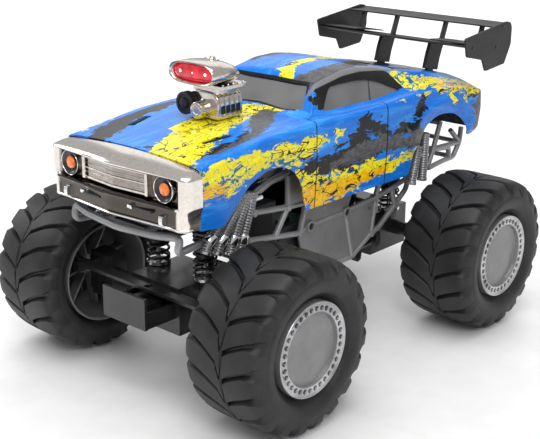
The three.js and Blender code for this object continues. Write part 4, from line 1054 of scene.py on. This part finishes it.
def blower():
    """The case: five bays between ribs along Y, four ports low on each side shown as near-black slabs of painted
    shade, a tray on a neck above.
    """
    y = np.linspace(CASE["front"], CASE["rear"], 90)
    bay = (y - CASE["front"]) / (CASE["rear"] - CASE["front"]) * BAYS
    rib = 0.5 + 0.5 * np.cos(bay * 2 * math.pi)
    end = np.clip(np.minimum(y - CASE["front"], CASE["rear"] - y) / 1.6, 0, 1) ** 0.5
    rings = []
    for at, ridge, whole in zip(y, rib, end):
        width = CASE["half"] - 0.5 + 0.5 * ridge - 1.4 * (1 - whole)
        section = case_section(width, CASE["low"],
                               CASE["top"] - 0.9 * (1 - ridge ** 0.5) - 1.5 * (1 - whole))
        rings.append(np.column_stack([section[:, 0], np.full(len(section), at), section[:, 1]]))
    case = surface(np.stack(rings), wrap_columns=True, caps=True)
    neck = slab(rounded(rectangle(-14, 14, -97, -71), 3), 165, 171, "z")
    flange = slab(rounded(rectangle(-22, 22, -99, -69), 2.5), 170.8, 173.9, "z")
    foot = slab(rounded(rectangle(-16.5, 16.5, -98, -71), 2), 145.9, 149.5, "z")
    front = CASE["front"]
    profile = [(2, 0.01), (2, 8.2), (-0.8, 8.2), (-1.4, 7.6), (-5, 7.2), (-8.6, 7.0), (-9.6, 6.6),
               (-10, 5.8),
               (-10, 3.4), (-9.2, 3.1), (-9.2, 0.01)]
    snout = lathe(profile, 40, (SNOUT[0], front, SNOUT[1]), "y")
    plate = slab(rounded([(-17, 149), (17, 149), (17, 160), (11, 167), (-11, 167), (-17, 160)], 2),
                 front - 0.3,
                 front + 1.5, "y")
    piece("blower_casing", joined(case, neck, flange, foot, snout, plate), "chassis", "bright_plating",
          NICKEL,
          ("blower_case",), crease=45, edge=0.35)
    ports, studs = [], []
    step = (CASE["rear"] - CASE["front"]) / BAYS
    for side in (1, -1):
        for k in range(1, BAYS):
            middle = CASE["front"] + step * k
            outline = rounded(rectangle(middle - 2.1, middle + 2.1, 150.6, 157.2), 0.8)
            ports.append(slab(outline, side * 16.5, side * 18.05, "x"))
        for k in range(BAYS):
            studs.append(stud(side * 19.8, -95.6 + 5.8 * k, 173.9, 1.0, 1.1))
            studs.append(stud(side * 12, -95.6 + 5.8 * k, 167.0, 1.0, 1.5))
    # near-black slabs on the ports: painted shade standing in for the dark inside of the openings
    piece("blower_ports", joined(*ports), "chassis", "matt_black", HOLE_SHADE, edge=0.2)
    piece("blower_studs", joined(*studs), "chassis", "bright_plating", BRIGHT)
    drive_pulley()


def drive_pulley():
    """A flanged pulley beside the snout with a toothed belt lying in it."""
    front, width = CASE["front"] - 0.4, 6.0
    profile = [(0, 0.01), (0, 9.4), (-0.5, 9.5), (-1.0, 9.2), (-1.3, 8.2), (1.3 - width, 8.2),
               (1.0 - width, 9.2),
               (0.5 - width, 9.5), (-width, 9.3), (-width, 7.0), (0.8 - width, 6.6), (0.8 - width, 4.6),
               (-width, 4.2), (-width - 1.2, 4.0), (-width - 1.5, 3.4), (-width - 1.5, 0.01)]
    piece("blower_drive", lathe(profile, 48, (PULLEY[0], front, PULLEY[1]), "y"), "chassis",
          "belt_black", PULLEY_BLACK, ("blower_pulley",), crease=30)
    turn = np.linspace(0, 2 * math.pi, 96, endpoint=False)
    tooth = 0.35 * np.sign(np.sin(turn * 24))
    rings = []
    for y, radius in ((-1.5, 9.0), (1.5 - width, 9.0), (1.5 - width, 8.0), (-1.5, 8.0)):
        out = radius + tooth * (radius > 8.5)
        rings.append(np.column_stack([PULLEY[0] + out * np.cos(turn), np.full(96, front + y),
                                      PULLEY[1] + out * np.sin(turn)]))
    piece("blower_belt", surface(np.stack(rings), wrap_rows=True, wrap_columns=True), "chassis",
          "belt_black",
          BELT_BLACK, crease=50)


SCOOP_MIDDLE = 183.8
# Along the hat from the mouth back: y, half width, underside, top.
SCOOP_STATIONS = [(-104.5, 22.0, 177.4, 190.2), (-110.8, 22.9, 176.6, 191.2), (-112.3, 24.0, 175.6, 192.1),
                  (-112.5, 24.8, 175.1, 192.6), (-111.8, 25.4, 174.8, 193.0), (-108, 25.5, 174.6, 193.2),
                  (-100, 25.0, 174.5, 193.2), (-92, 23.6, 174.5, 192.8), (-84, 21.2, 174.5, 191.3),
                  (-77, 18.6, 174.5, 188.6), (-72.5, 16.4, 174.5, 184.6), (-71.0, 15.0, 174.6, 182.6),
                  (-70.9, 13.0, 175.4, 181.2)]


def stadium(half_x, low, top, count=56):
    """Section of the hat: |x / half| ** 3.4 + |z / half| ** 2.3 = 1."""
    turn = np.linspace(0, 2 * math.pi, count, endpoint=False)
    x = half_x * np.sign(np.cos(turn)) * np.abs(np.cos(turn)) ** (2 / 3.4)
    z = (low + top) / 2 + (top - low) / 2 * np.sign(np.sin(turn)) * np.abs(np.sin(turn)) ** (2 / 2.3)
    return x, z


def scoop():
    """The hat runs from its mouth back and tapers down behind; a red window with three lamps fills the mouth."""
    rings = []
    for y, half, low, top in SCOOP_STATIONS:
        x, z = stadium(half, low, top)
        rings.append(np.column_stack([x, np.full(len(x), y), z]))
    hat = surface(np.stack(rings), wrap_columns=True, caps=True)
    cap = lathe([(0, 0.01), (0, 3.4), (1.4, 3.4), (1.8, 3.0), (2.8, 2.6), (3.1, 2.0), (3.1, 0.01)], 24,
                (0, -88, 191.6), "z")
    piece("scoop_shell", joined(hat, cap, stud(-7, -88, 192, 1.2, 0.9), stud(7, -88, 192, 1.2, 0.9)),
          "chassis",
          "bright_plating", NICKEL, ("scoop_hat",), crease=40)
    x, z = stadium(21.9, 177.5, 190.1)
    bulge = [np.column_stack([x * share, np.full(len(x), -104.9 - out),
                              SCOOP_MIDDLE + (z - SCOOP_MIDDLE) * share])
             for share, out in ((1.0, 0.0), (1.0, 3.4), (0.95, 4.2), (0.8, 4.8), (0.5, 5.2), (0.2, 5.4))]
    piece("scoop_window", surface(np.stack(bulge), wrap_columns=True, caps=True), "chassis", "red_lens",
          LENS_RED,
          ("scoop_lens",), crease=60)
    lights = [lathe([(0, 0.01), (0, 1.3), (-0.5, 1.2), (-0.9, 0.6), (-1.0, 0.01)], 20, (x, -109.4, 184.2),
                    "y") for x in (-14, 0, 14)]
    piece("scoop_lamps", joined(*lights), "chassis", "red_lens", LAMP_WHITE)


# ---------- rear wing ----------
END_PLATE = [(151, 190), (223, 198.5), (230, 197), (233, 192), (233, 175.7), (222.9, 158), (189, 155.1),
             (183, 166.5), (155.2, 172.6)]
WING_HALF = 88.0
WING_PLATE = 2.0


def foil(front, rear, low_front, low_rear, thickness, arch, count=22):
    """Section of a wing plane as (y, z): a camber line with a thickness that grows and fades along the chord."""
    t = np.linspace(0, 1, count)
    y = front + (rear - front) * t
    camber = low_front + (low_rear - low_front) * t + arch * 4 * t * (1 - t)
    half = thickness * (0.35 + 0.65 * np.sqrt(np.sin(np.clip(t * 0.9 + 0.08, 0, 1) * math.pi)))
    return np.vstack([np.column_stack([y, camber + half]), np.column_stack([y, camber - half])[::-1]])


def wing():
    plate = rounded(END_PLATE, 2.0, 3)
    parts = [slab(plate, side * (WING_HALF - WING_PLATE), side * WING_HALF, "x") for side in (1, -1)]
    inner = WING_HALF - WING_PLATE
    parts.append(slab(foil(154.6, 207.4, 182.4, 174.4, 1.1, -1.2), -inner, inner, "x"))
    parts.append(slab(foil(200.5, 231.4, 195.2, 195.6, 1.0, -1.3), -inner, inner, "x"))
    for side in (1, -1):
        raised = foil(158, 207.2, 184.2, 177.2, 0.8, 0.6)
        parts.append(slab(raised, side * 44, side * inner, "x"))
        for x, half in ((STRUT_X, 1.4), (70, 1.4)):
            blade = rounded([(197.5, 173.5), (204, 173.5), (212, 195), (206, 195)], 1)
            parts.append(slab(blade, side * (x - half), side * (x + half), "x"))
    piece("wing_moulding", joined(*parts), "chassis", "matt_black", WING_BLACK, ("rear_wing",), crease=40,
          edge=0.3)
    screws = []
    for side in (1, -1):
        for y, z in ((164, 180), (206, 176), (216, 194.5)):
            head = [(0, 0.01), (0, 1.6), (0.5, 1.5), (0.8, 1.0), (0.8, 0.01)]
            shape = lathe(head, 16, (WING_HALF, y, z), "x")
            screws.append(shape if side > 0 else mirrored(shape))
    piece("wing_screws", joined(*screws), "chassis", "matt_black", AXLE_BLACK)
    refined("wing_mount", WING_BLACK, 0.4)


# ---------- tube frames ----------
FRAME_X = 55.0
BAR = 2.5
RING_FRONT, RING_REAR = (-29, 48.5), (21, 49)
FRAME_RAILS = [
    [(-104, 54.5), (-43, 44.7), RING_FRONT, RING_REAR, (64, 51.6), (76, 52.5), (111, 58.5), (118, 58.8),
     (114.5, 49), (99.4, 38.5), (72.6, 21), (61, 18.5), (33, 3), (13, 3.5), (-34, 12)],
    [(-98, 76.5), (-56, 71.5), (-32, 70)],
    [(-56, 99), (-56, 71.5), (-73, 47.5)],
    [(-41, 42.5), (-32, 72)],
    [RING_REAR, (33, 3)],
    [(66.5, 51.8), (61, 18.5)],
    [(91.6, 54), (97, 39)],
    [(66.6, 52), (76, 76)],
    [(113, 58.5), (130, 104)],
    [(-100, 76), (-97, 92), (-78, 99), (-56, 102)],
]
FRAME_PLATES = [
    [(-41, 43), (-32, 72), (-34, 80), (38, 80), (24, 50), (-29, 48.5)],
    [(-43, 44.7), (-29, 48.5), (21, 49), (64, 51.6), (66, 50), (61, 18.5), (33, 3), (13, 3.5), (-34, 12)],
    [(-56, 72), (-56, 99), (-46, 97.5), (-38, 91), (-32, 76), (-32, 71)],
    [(-97, 96), (-77, 102.5), (-56, 105), (-56, 99), (-78, 95.5), (-97, 88)],
]
CAGE_RAILS = [
    [(168, 105), (158, 79.5), (149, 61.6), (174, 64), (194, 64.6), (204, 78), (206, 93)],
    [(158, 79.5), (204, 78)],
    [(158, 79.5), (185, 76), (186, 65)],
    [(186.5, 93), (204, 78)],
]
CAGE_CROSSBARS = [(204, 78), (158, 79.5), (194, 64.6), (168, 103.5)]


def bent_tube(points, radius=BAR, bend=3.5):
    """A round tube along straight runs with curved bends."""
    path = rounded(np.asarray(points, float), bend, 5, open_ends=True)
    keep = np.concatenate([[True], np.linalg.norm(np.diff(path, axis=0), axis=1) > 0.05])
    return tube(path[keep], radius, 14)


def side_frames():
    for name in SIDES:
        side = SIGN[name]
        x = side * FRAME_X
        rails = [bent_tube(in_plane(x, points)) for points in FRAME_RAILS]
        rings, bores = [], []
        for y, z in (RING_FRONT, RING_REAR):
            out = side * 4.0
            profile = [(-side * 3, 0.01), (-side * 3, 5.2), (out * 0.85, 5.2), (out, 4.7), (out, 3.3),
                       (out * 0.6, 3.1), (out * 0.5, 0.01)]
            rings.append(lathe(profile, 32, (x, y, z), "x"))
            bores.append(lathe([(out * 0.5, 0.01), (out * 0.5, 3.0), (out * 0.62, 3.0),
                                (out * 0.66, 0.01)], 24,
                               (x, y, z), "x"))
        for y, z in ((-98, 76.5), (-56, 71.5), (64, 51.6), (61, 18.5), (99.4, 38.5)):
            profile = [(-side * 2.6, 0.01), (-side * 2.6, 3.1), (side * 2.6, 3.1), (side * 3.0, 2.6),
                       (side * 3.0, 0.01)]
            rings.append(lathe(profile, 20, (x, y, z), "x"))
        piece(f"frame_tubes_{name}", joined(*rails, *rings), "chassis", "frame_grey", FRAME_GREY,
              (f"side_frame_{name}",), crease=40)
        plates = [slab(rounded(points, 2, 3), x - 1, x + 1, "x") for points in FRAME_PLATES]
        piece(f"frame_plates_{name}", joined(*plates), "chassis", "frame_grey", PLATE_GREY, edge=0.3)
        screws = []
        for y, z in ((-25, 76), (34, 54), (-34, 20), (56, 44), (2, 12), (-8, 60)):
            head = [(side * 1.0, 0.01), (side * 1.0, 1.5), (side * 1.5, 1.4), (side * 1.8, 0.8),
                    (side * 1.8, 0.01)]
            screws.append(lathe(head, 16, (x, y, z), "x"))
        piece(f"frame_screws_{name}", joined(*screws), "chassis", "frame_grey", BOLT_GREY)
        # near-black discs in the ring bores: painted shade standing in for the dark inside of the holes
        piece(f"frame_bores_{name}", joined(*bores), "chassis", "matt_black", HOLE_SHADE)


def bumper_and_cage():
    bar = [(54, -150, 66), (60, -187, 67), (61, -184, 79), (40, -189, 77), (0, -193, 76), (-40, -189, 77),
           (-61, -184, 79), (-60, -187, 67), (-54, -150, 66)]
    posts = [tube(dense([(x, -191, 76.5), (x, -168.5, 75.8)], 4), 2.2, 12) for x in (24, -24)]
    foot = slab(rounded(rectangle(-28, 28, -172, -166), 1.5), 73.8, 77, "z")
    piece("bumper_tube", joined(bent_tube(bar, 3.1, 6), *posts, foot), "chassis", "frame_grey", FRAME_GREY,
          ("front_bumper_bar",), crease=40)
    parts = [bent_tube(in_plane(x, points)) for x in (FRAME_X, -FRAME_X) for points in CAGE_RAILS]
    parts += [tube(dense([(-FRAME_X, y, z), (FRAME_X, y, z)], 10), BAR - 0.1, 14) for y,
              z in CAGE_CROSSBARS]
    parts.append(block(-20, 20, 156, 160, 73.8, 79))
    piece("cage_tubes", joined(*parts), "chassis", "frame_grey", FRAME_GREY, ("rear_cage",), crease=40)


# ---------- ribbed stacks ----------
STACK_X = 63.0
FRONT_STACK = [((-122, 97), (-155, 71), (-161, 60)), ((-117, 98), (-142.5, 67.5), (-148, 56)),
               ((-112, 99), (-130, 64), (-134, 52)), ((-106, 98), (-119, 62), (-123, 51))]
REAR_STACK = [((104, 58.6), (112.5, 94.6)), ((121.5, 59), (123, 104.4))]
RIB_PITCH = 2.3


def ribbed(start, end, radius, depth=0.55):
    """A straight tube whose radius rises and falls once every rib pitch."""
    start, end = np.asarray(start, float), np.asarray(end, float)
    length = np.linalg.norm(end - start)
    at = np.arange(0, length, RIB_PITCH / 8)
    wave = np.cos(at / RIB_PITCH * 2 * math.pi)
    path = start + (end - start) * (at / length)[:, None]
    return tube(path, radius - depth * (0.5 - 0.5 * np.tanh(2.2 * wave) / math.tanh(2.2)), 20)


def collar(centre, direction, radius, half):
    """A short plain band with softened rims round a tube."""
    direction = np.asarray(direction, float) / np.linalg.norm(direction)
    steps = np.array([-1, -0.98, -0.85, 0, 0.85, 0.98, 1]) * half
    path = np.asarray(centre, float) + direction * steps[:, None]
    return tube(path, radius * np.array([0.9, 0.97, 1, 1.0, 1, 0.97, 0.9]), 24)


def stacks():
    for name in SIDES:
        x = SIGN[name] * STACK_X
        ribs, bands, braces = [], [], []
        for top, bend, tip in FRONT_STACK:
            top, bend, tip = in_plane(x, [top, bend, tip])
            ribs.append(ribbed(top, bend, 4.1))
            ribs.append(ribbed(bend, tip, 4.1))
            bands.append(collar(bend, bend - top, 4.9, 3.6))
            bands.append(collar(tip + (bend - tip) * 0.12, tip - bend, 4.5, 0.9))
        braces.append(tube(dense([(x, -126, 92), (x, -98, 92)], 5), 2.5, 10))
        braces.append(tube(dense([(x, -99, 92), (SIGN[name] * 57.8, -99, 92)], 3), 2.2, 10))
        piece(f"front_pipes_{name}", joined(*ribs), "chassis", "frame_grey", STACK_GREY,
              (f"front_stacks_{name}",),
              crease=70)
        piece(f"front_pipe_bands_{name}", joined(*bands, *braces), "chassis", "frame_grey", BRIGHT,
              crease=40)
        x = SIGN[name] * (STACK_X + 5)
        ribs, bands = [], []
        for foot, top in REAR_STACK:
            foot, top = in_plane(x, [foot, top])
            ribs.append(ribbed(foot, top, 4.6))
            bands.append(collar(foot + (top - foot) * 0.03, top - foot, 4.75, 1.3))
        bands.append(tube(dense([(x, 108, 84), (x, 124, 84)], 5), 2.5, 10))
        bands.append(tube(dense([(x, 121, 84), (SIGN[name] * 57.8, 121, 84)], 3), 2.2, 10))
        piece(f"rear_pipes_{name}", joined(*ribs), "chassis", "frame_grey", STACK_GREY,
              (f"rear_stacks_{name}",),
              crease=70)
        piece(f"rear_pipe_bands_{name}", joined(*bands), "chassis", "frame_grey", FRAME_GREY, crease=40)


# ---------- dampers and springs ----------
SHOCK_X, SHOCK_INSET = 28.0, 10.0
SPRING_LOW, SPRING_HIGH = 24.4, 60.0
SPRING_RADIUS, SPRING_WIRE = 9.1, 1.15
SPRING_TURNS = 7.0
# Sections as (height, radius): the hollow body with its collar, and the rod that stands on the lower cup.
DAMPER_BODY = [(38.2, 5.9), (38.2, 7.2), (39, 7.6), (44, 7.6), (44.4, 7.2), (45.2, 7.2), (45.6, 7.6),
               (58.6, 7.6),
               (60.5, 7.7), (60.6, 10.2), (61.2, 10.4), (62.6, 10.4), (63.2, 9.6), (63.4, 7.5), (69.2, 7.5),
               (69.9, 6.6), (69.9, 5.9)]
ROD_AND_CUP = [(20.9, 0.01), (20.9, 9.6), (21.3, 10.4), (23.6, 10.4), (23.9, 10.0), (23.9, 7.6),
               (23.2, 7.2),
               (23.2, 3.4), (24.6, 2.9), (24.6, 2.0), (40.8, 2.0), (41, 1.8), (41, 0.01)]


def coil(x, y):
    """A helix whose pitch closes up over the first and last turn, carrying a round wire."""
    share = np.linspace(0, 1, 240)
    rise = np.interp(share * SPRING_TURNS, [0, 1, SPRING_TURNS - 1, SPRING_TURNS], [0, 0.055, 0.945, 1])
    low, high = SPRING_LOW + SPRING_WIRE, SPRING_HIGH - SPRING_WIRE
    turn = share * SPRING_TURNS * 2 * math.pi
    helix = (x + SPRING_RADIUS * np.cos(turn), y + SPRING_RADIUS * np.sin(turn), low + (high - low) * rise)
    return tube(np.stack(helix, -1), SPRING_WIRE, 9)


def dampers():
    for end in ENDS:
        y = AXLE_Y[end] - math.copysign(SHOCK_INSET, AXLE_Y[end])
        for name in SIDES:
            x = SIGN[name] * SHOCK_X
            piece(f"damper_{end}_{name}_body", lathe(DAMPER_BODY, 40, (x, y, 0), "z", ring=True), "chassis",
                  "axle_black", AXLE_BLACK, (f"damper_{end}_{name}",), crease=30)
            spring = piece(f"coil_{end}_{name}", coil(x, y), None, "spring_black", SPRING_BLACK,
                           (f"spring_{end}_{name}",), crease=80)
            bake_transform(spring)
            piece(f"rod_{end}_{name}", lathe(ROD_AND_CUP, 36, (x, y, 0), "z"), f"{end}_axle", "drive_steel",
                  STEEL, (f"shock_rod_{end}_{name}",), crease=30)


# ---------- tyres ----------
TYRE_RADIUS, TYRE_HALF = 70.0, 37.4
LUG_PAIRS = 20
# Across the tyre from the outer bead to the inner bead: (x, floor radius), and how proud the lug stands there.
TYRE_ACROSS = [
    (28.3, 38.6, 0), (29.6, 40.2, 0), (32.0, 42.0, 0), (33.2, 43.4, 0), (34.0, 43.9, 0), (34.8, 44.9, 0),
    (36.4, 48.0, 0), (37.1, 51.0, 0), (37.3, 53.6, 0), (37.0, 55.2, 0), (36.7, 55.9, 0), (36.6, 56.6, 0.5),
    (35.9, 58.6, 1.0), (34.9, 60.6, 1.0), (33.4, 62.5, 1.0), (31.2, 63.9, 1.0), (28.6, 64.6, 1.0),
    (24.6, 65.2, 1.0), (20, 65.6, 1.0), (15, 65.9, 1.0), (10, 66.05, 1.0), (6, 66.1, 1.0),
               (3.6, 66.15, 1.0),
    (2.6, 66.15, 1.0), (1.6, 66.15, 1.0), (0.6, 66.15, 1.0), (-0.4, 66.15, 1.0),
]
TYRE_INSIDE = [(-28.4, 44.9), (-24.6, 44.9), (-33.0, 52.0), (-31.5, 60.0), (-20, 62.0), (0, 62.4),
               (20, 62.0),
               (31.5, 59.0), (33.0, 50.0), (24.6, 38.6)]
OUTER_SHIFT = [(0, 0.42), (4.4, 0.5), (12, 0.74), (24, 1.0), (33, 1.1), (40, 1.12)]
INNER_SHIFT = [(-3.2, 0.3), (-0.4, 0.12), (0.6, -0.02), (2.6, -0.32), (3.6, -0.32)]
INNER_ARM = [(0, 0.1), (8, 0.34), (16, 0.55), (26, 0.72), (34, 0.8), (40, 0.8)]


def tyre_profile():
    """Rows from the outer bead over the tread to the inner bead: x, floor radius, lug share, lug height."""
    half = np.array(TYRE_ACROSS)
    other = half[half[:, 0] > 0.9][::-1] * [-1, 1, 1]
    # The inner bead sits on the wider barrel, so the inner side wall starts further out.
    other[:, 1] = np.where(other[:, 1] < 53, 44.6 + (other[:, 1] - 38.6) * (53.6 - 44.6) / (53.6 - 38.6),
                           other[:, 1])
    rows = np.vstack([half, other])
    height = np.interp(np.abs(rows[:, 0]), [0, 25, 31, 34, 36.4], [3.85, 4.3, 4.6, 4.0, 1.1])
    return rows, height


def tyre_shape(side):
    """Each pitch has the same columns: groove floor, wall, lug top, wall. A row shifts them round the tyre so that
    they draw the chevron, and widens the groove towards the shoulder."""
    rows, height = tyre_profile()
    x = rows[:, 0]
    local = np.array([0.0, 0.5, 1.0, 1.35, 1.7, 2.0, 3.0, 4.0, 5.0, 6.0, 6.3, 6.65])
    rise = np.array([0, 0, 0, 0.82, 1.0, 1, 1, 1, 1, 1.0, 1.0, 0.82])
    wide = np.interp(np.abs(x), [0, 26, 31, 34, 37], [0.07, 0.085, 0.15, 0.25, 0.26])
    outer_arm, middle, inner_arm = (np.interp(at, *np.array(table).T) for at, table in
                                    ((x, OUTER_SHIFT), (x, INNER_SHIFT), (-x, INNER_ARM)))
    shift = np.where(x > 3.7, outer_arm, np.where(x < -0.5, inner_arm, middle))
    grid = []
    for k in range(len(rows)):
        edge = wide[k]
        table = np.interp(local, [0, 1, 1.7, 6.3, 7], [0, edge, edge + 0.035, 1 - edge - 0.035, 1 - edge])
        turn = (np.arange(LUG_PAIRS)[:, None] + table[None] + shift[k]).ravel() * 2 * math.pi / LUG_PAIRS
        proud = np.tile(rise, LUG_PAIRS)
        if 2.7 < x[k] < 4.4:
            proud = np.ones_like(proud)
        lift = rows[k, 2] * height[k] * proud
        lean = np.interp(abs(x[k]), [26, 36], [0, 0.55])
        radius = rows[k, 1] + lift * (1 - 0.4 * lean)
        out = np.clip(x[k] + np.sign(x[k]) * lift * lean * 0.35, -TYRE_HALF, TYRE_HALF)
        radius = np.minimum(radius, TYRE_RADIUS)
        grid.append(np.stack([out, -radius * np.cos(turn), radius * np.sin(turn)], -1))
    last = (np.arange(LUG_PAIRS)[:, None] + local[None] / 7 + shift[-1]).ravel() * 2 * math.pi / LUG_PAIRS
    for at, radius in TYRE_INSIDE:
        grid.append(np.stack([np.full(len(last), at), -radius * np.cos(last), radius * np.sin(last)], -1))
    shape = surface(np.stack(grid), wrap_rows=True, wrap_columns=True)
    return shape if side > 0 else mirrored(shape)


# ---------- wheels ----------
BOLTS, BOLT_CIRCLE = 34, 32.7
SPOKES = 8
HUB_REACH, BARREL_REACH, DISC_REACH = 8.5, 40.2, 34.8


def rim_profile():
    """Section of the wheel as (x, radius): domed disc, step, bolt ring, bright lip, barrel, open inner side."""
    return [(29.6, 0.01), (29.7, 8), (29.9, 16), (30.0, 24), (30.1, 27.0), (30.6, 28.2), (32.4, 28.7),
            (33.4, 29.0),
            (33.7, 29.5), (33.7, 35.6), (33.9, 36.1), (34.4, 36.5), (34.6, 37.2), (34.3, 37.8),
            (33.4, 38.0),
            (28.6, 38.1), (14, 38.1), (6, 44), (-30, 44), (-32.4, 44.2), (-33.6, 44.0), (-33.9, 43.2),
            (-33.0, 42.0),
            (-31, 41.2), (5, 41), (13, 35.4), (26.6, 35.2), (27.2, 34), (27.4, 9.2), (-5, 9), (-5, 0.01)]


def wheels():
    bodies = {("front", name): f"front_wheel_{name}" for name in SIDES}
    bodies |= {("rear", name): "rear_wheels" for name in SIDES}
    for (end, name), body in bodies.items():
        side = SIGN[name]
        centre = (side * WHEEL_X, AXLE_Y[end], 0)
        piece(f"tread_{end}_{name}", moved(tyre_shape(side), centre), body, "tyre_rubber", RUBBER,
              (f"tyre_{end}_{name}",), crease=42)
        disc = lathe(rim_profile(), 96, (0, 0, 0), "x")
        spokes = []
        for k in range(SPOKES):
            turn = k * 2 * math.pi / SPOKES + 0.2
            along, across = np.array([[math.cos(turn), math.sin(turn)], [-math.sin(turn), math.cos(turn)]])
            outline = np.array([along * HUB_REACH + across, along * BARREL_REACH + across,
                                along * BARREL_REACH - across, along * HUB_REACH - across])
            spokes.append(slab(outline * DISC_REACH / BARREL_REACH, 12, 27.5, "x"))
            spokes.append(slab(outline, -8, 2, "x"))
        stub = lathe([(-31, 0.01), (-31, 3.6), (-30.7, 3.9), (-4, 3.9), (-4, 0.01)], 28, (0, 0, 0), "x")
        flip = (lambda shape: shape) if side > 0 else mirrored
        piece(f"wheel_{end}_{name}", moved(flip(joined(disc, *spokes, stub)), centre), body, "rim_grey",
              RIM_GREY,
              (f"rim_{end}_{name}",), crease=28)
        ring = lathe([(33.7, 29.6), (34.0, 29.9), (34.05, 35.4), (34.5, 36.2), (34.9, 36.9), (34.8, 37.6),
                      (34.3, 38.0), (33.7, 38.0)], 96, (0, 0, 0), "x", ring=True)
        bolts, wells = [], []
        for k in range(BOLTS):
            turn = k * 2 * math.pi / BOLTS
            y, z = BOLT_CIRCLE * math.cos(turn), BOLT_CIRCLE * math.sin(turn)
            head = [(34.0, 0.01), (34.0, 1.35), (34.8, 1.35), (35.0, 1.1), (35.0, 0.01)]
            bolts.append(lathe(head, 6, (0, y, z), "x"))
            wells.append(lathe([(34.02, 1.5), (34.12, 1.5), (34.12, 2.0), (34.02, 2.0)], 12, (0, y, z),
                               ring=True))
        piece(f"wheel_ring_{end}_{name}", moved(flip(ring), centre), body, "rim_grey", RIM_RING, crease=30)
        piece(f"wheel_bolts_{end}_{name}", moved(flip(joined(*bolts)), centre), body, "rim_grey",
              BOLT_GREY, crease=20)
        # a thin near-black ring round each bolt: painted shade standing in for the well the bolt sits in
        piece(f"wheel_bolt_wells_{end}_{name}", moved(flip(joined(*wells)), centre), body, "rim_grey",
              HOLE_SHADE)


# ---------- carried-over nodes ----------
def mouldings():
    looks = {
        "chassis_grey": (CHASSIS_GREY, 0.5, ("chassis_pan", "battery_door")),
        "pack_wrap": (PACK_BLUE, 1.2, ("battery_pack",)),
        "board": (BOARD_GREEN, 0.3, ("circuit_board",)),
        "switch_steel": (SWITCH_GREY, 0.4, ("power_switch",)),
        "axle_black": (AXLE_BLACK, 0.6, ("front_axle_housing", "rear_axle_housing", "front_link_frame",
                                         "rear_link_frame", "steering_servo", "steering_arm", "tie_rod",
                                         "front_knuckle_left", "front_knuckle_right")),
        "drive_steel": (STEEL, 0.25, ("front_drive_gear", "front_pinion", "rear_drive_gear", "rear_pinion",
                                      "front_motor", "rear_motor")),
    }
    for slot, (look, edge, nodes) in looks.items():
        for node in nodes:
            refined(node, look, edge)


# ---------- the room ----------
def floor():
    """A wide shallow bowl of a floor, flat near the truck."""
    reach = np.concatenate([np.linspace(0.01, 1.2, 12), np.linspace(1.4, 9, 20)])
    turn = np.linspace(0, 2 * math.pi, 64, endpoint=False)
    rise = np.clip(reach - 4.0, 0, None) ** 2 * 0.06
    grid = np.stack([reach[:, None] * np.cos(turn), reach[:, None] * np.sin(turn),
                     np.broadcast_to(rise[:, None], (len(reach), 64))], -1)
    points, faces = surface(grid, wrap_columns=True)
    faces.append(list(range(64)))
    mesh = bpy.data.meshes.new("floor")
    mesh.from_pydata(points.tolist(), [], faces)
    made = linked("floor", mesh)
    mesh.polygons.foreach_set("use_smooth", [True] * len(mesh.polygons))
    mesh.materials.append(moulded("pale_floor", (0.86, 0.86, 0.86), (0.9, 0.9, 0.9), 0.55, 0.02, 6.0))


def area_light(name, place, aim, size, power, mirrored=True):
    data = bpy.data.lights.new(name, "AREA")
    data.shape, data.size, data.size_y = "RECTANGLE", *size
    data.energy = power
    lamp = linked(name, data)
    lamp.location = place
    lamp.visible_glossy = mirrored
    lamp.rotation_euler = (Vector(aim) - Vector(place)).to_track_quat("-Z", "Y").to_euler()


def room_light():
    world = bpy.data.worlds.new("studio")
    bpy.context.scene.world = world
    world.use_nodes = True
    world.node_tree.nodes["Background"].inputs["Color"].default_value = (1, 1, 1, 1)
    world.node_tree.nodes["Background"].inputs["Strength"].default_value = 0.48
    centre = (0, 0, 0.12)
    area_light("overhead", (0.1, -0.25, 1.6), centre, (1.2, 1.2), 15)
    area_light("backdrop", (-1.5, 2.2, 1.5), (-0.9, 1.2, 0), (3.0, 1.8), 42, mirrored=False)
    area_light("back_panel", (-1.4, 2.1, 1.4), (-0.4, 0.6, 0.1), (2.6, 1.4), 7)
    area_light("key", (1.1, -0.9, 1.3), centre, (0.6, 0.6), 9)
    area_light("side", (-1.5, -0.5, 0.9), centre, (0.6, 0.6), 6)
    bpy.context.scene.view_settings.view_transform = "Standard"


def camera():
    """Eye on a sphere round the truck: turned 41.7 degrees from the nose towards its left, 18.7 degrees up."""
    turn, rise, roll = (math.radians(a) for a in (41.7, 18.7, 0.42))
    back = Vector((math.sin(turn) * math.cos(rise), -math.cos(turn) * math.cos(rise), math.sin(rise)))
    right = Vector((math.cos(turn), math.sin(turn), 0))
    up = back.cross(right)
    across = right * math.cos(roll) + up * math.sin(roll)
    over = up * math.cos(roll) - right * math.sin(roll)
    data = bpy.data.cameras.new("view")
    data.lens, data.sensor_width = 73.4, 36
    eye = linked("view", data)
    place = Vector((0, ORIGIN[1] * 0.001, 0.09)) + back * 1.004 - across * 0.0106 + over * 0.0133
    eye.matrix_world = Matrix.Translation(place) @ Matrix((across, over, back)).transposed().to_4x4()
    bpy.context.scene.camera = eye


camera()
room_light()
floor()
car_shell()
tail_panel()
window_panes()
nose()
lamps()
bumper_guards()
blower()
scoop()
wing()
side_frames()
bumper_and_cage()
stacks()
dampers()
wheels()
mouldings()
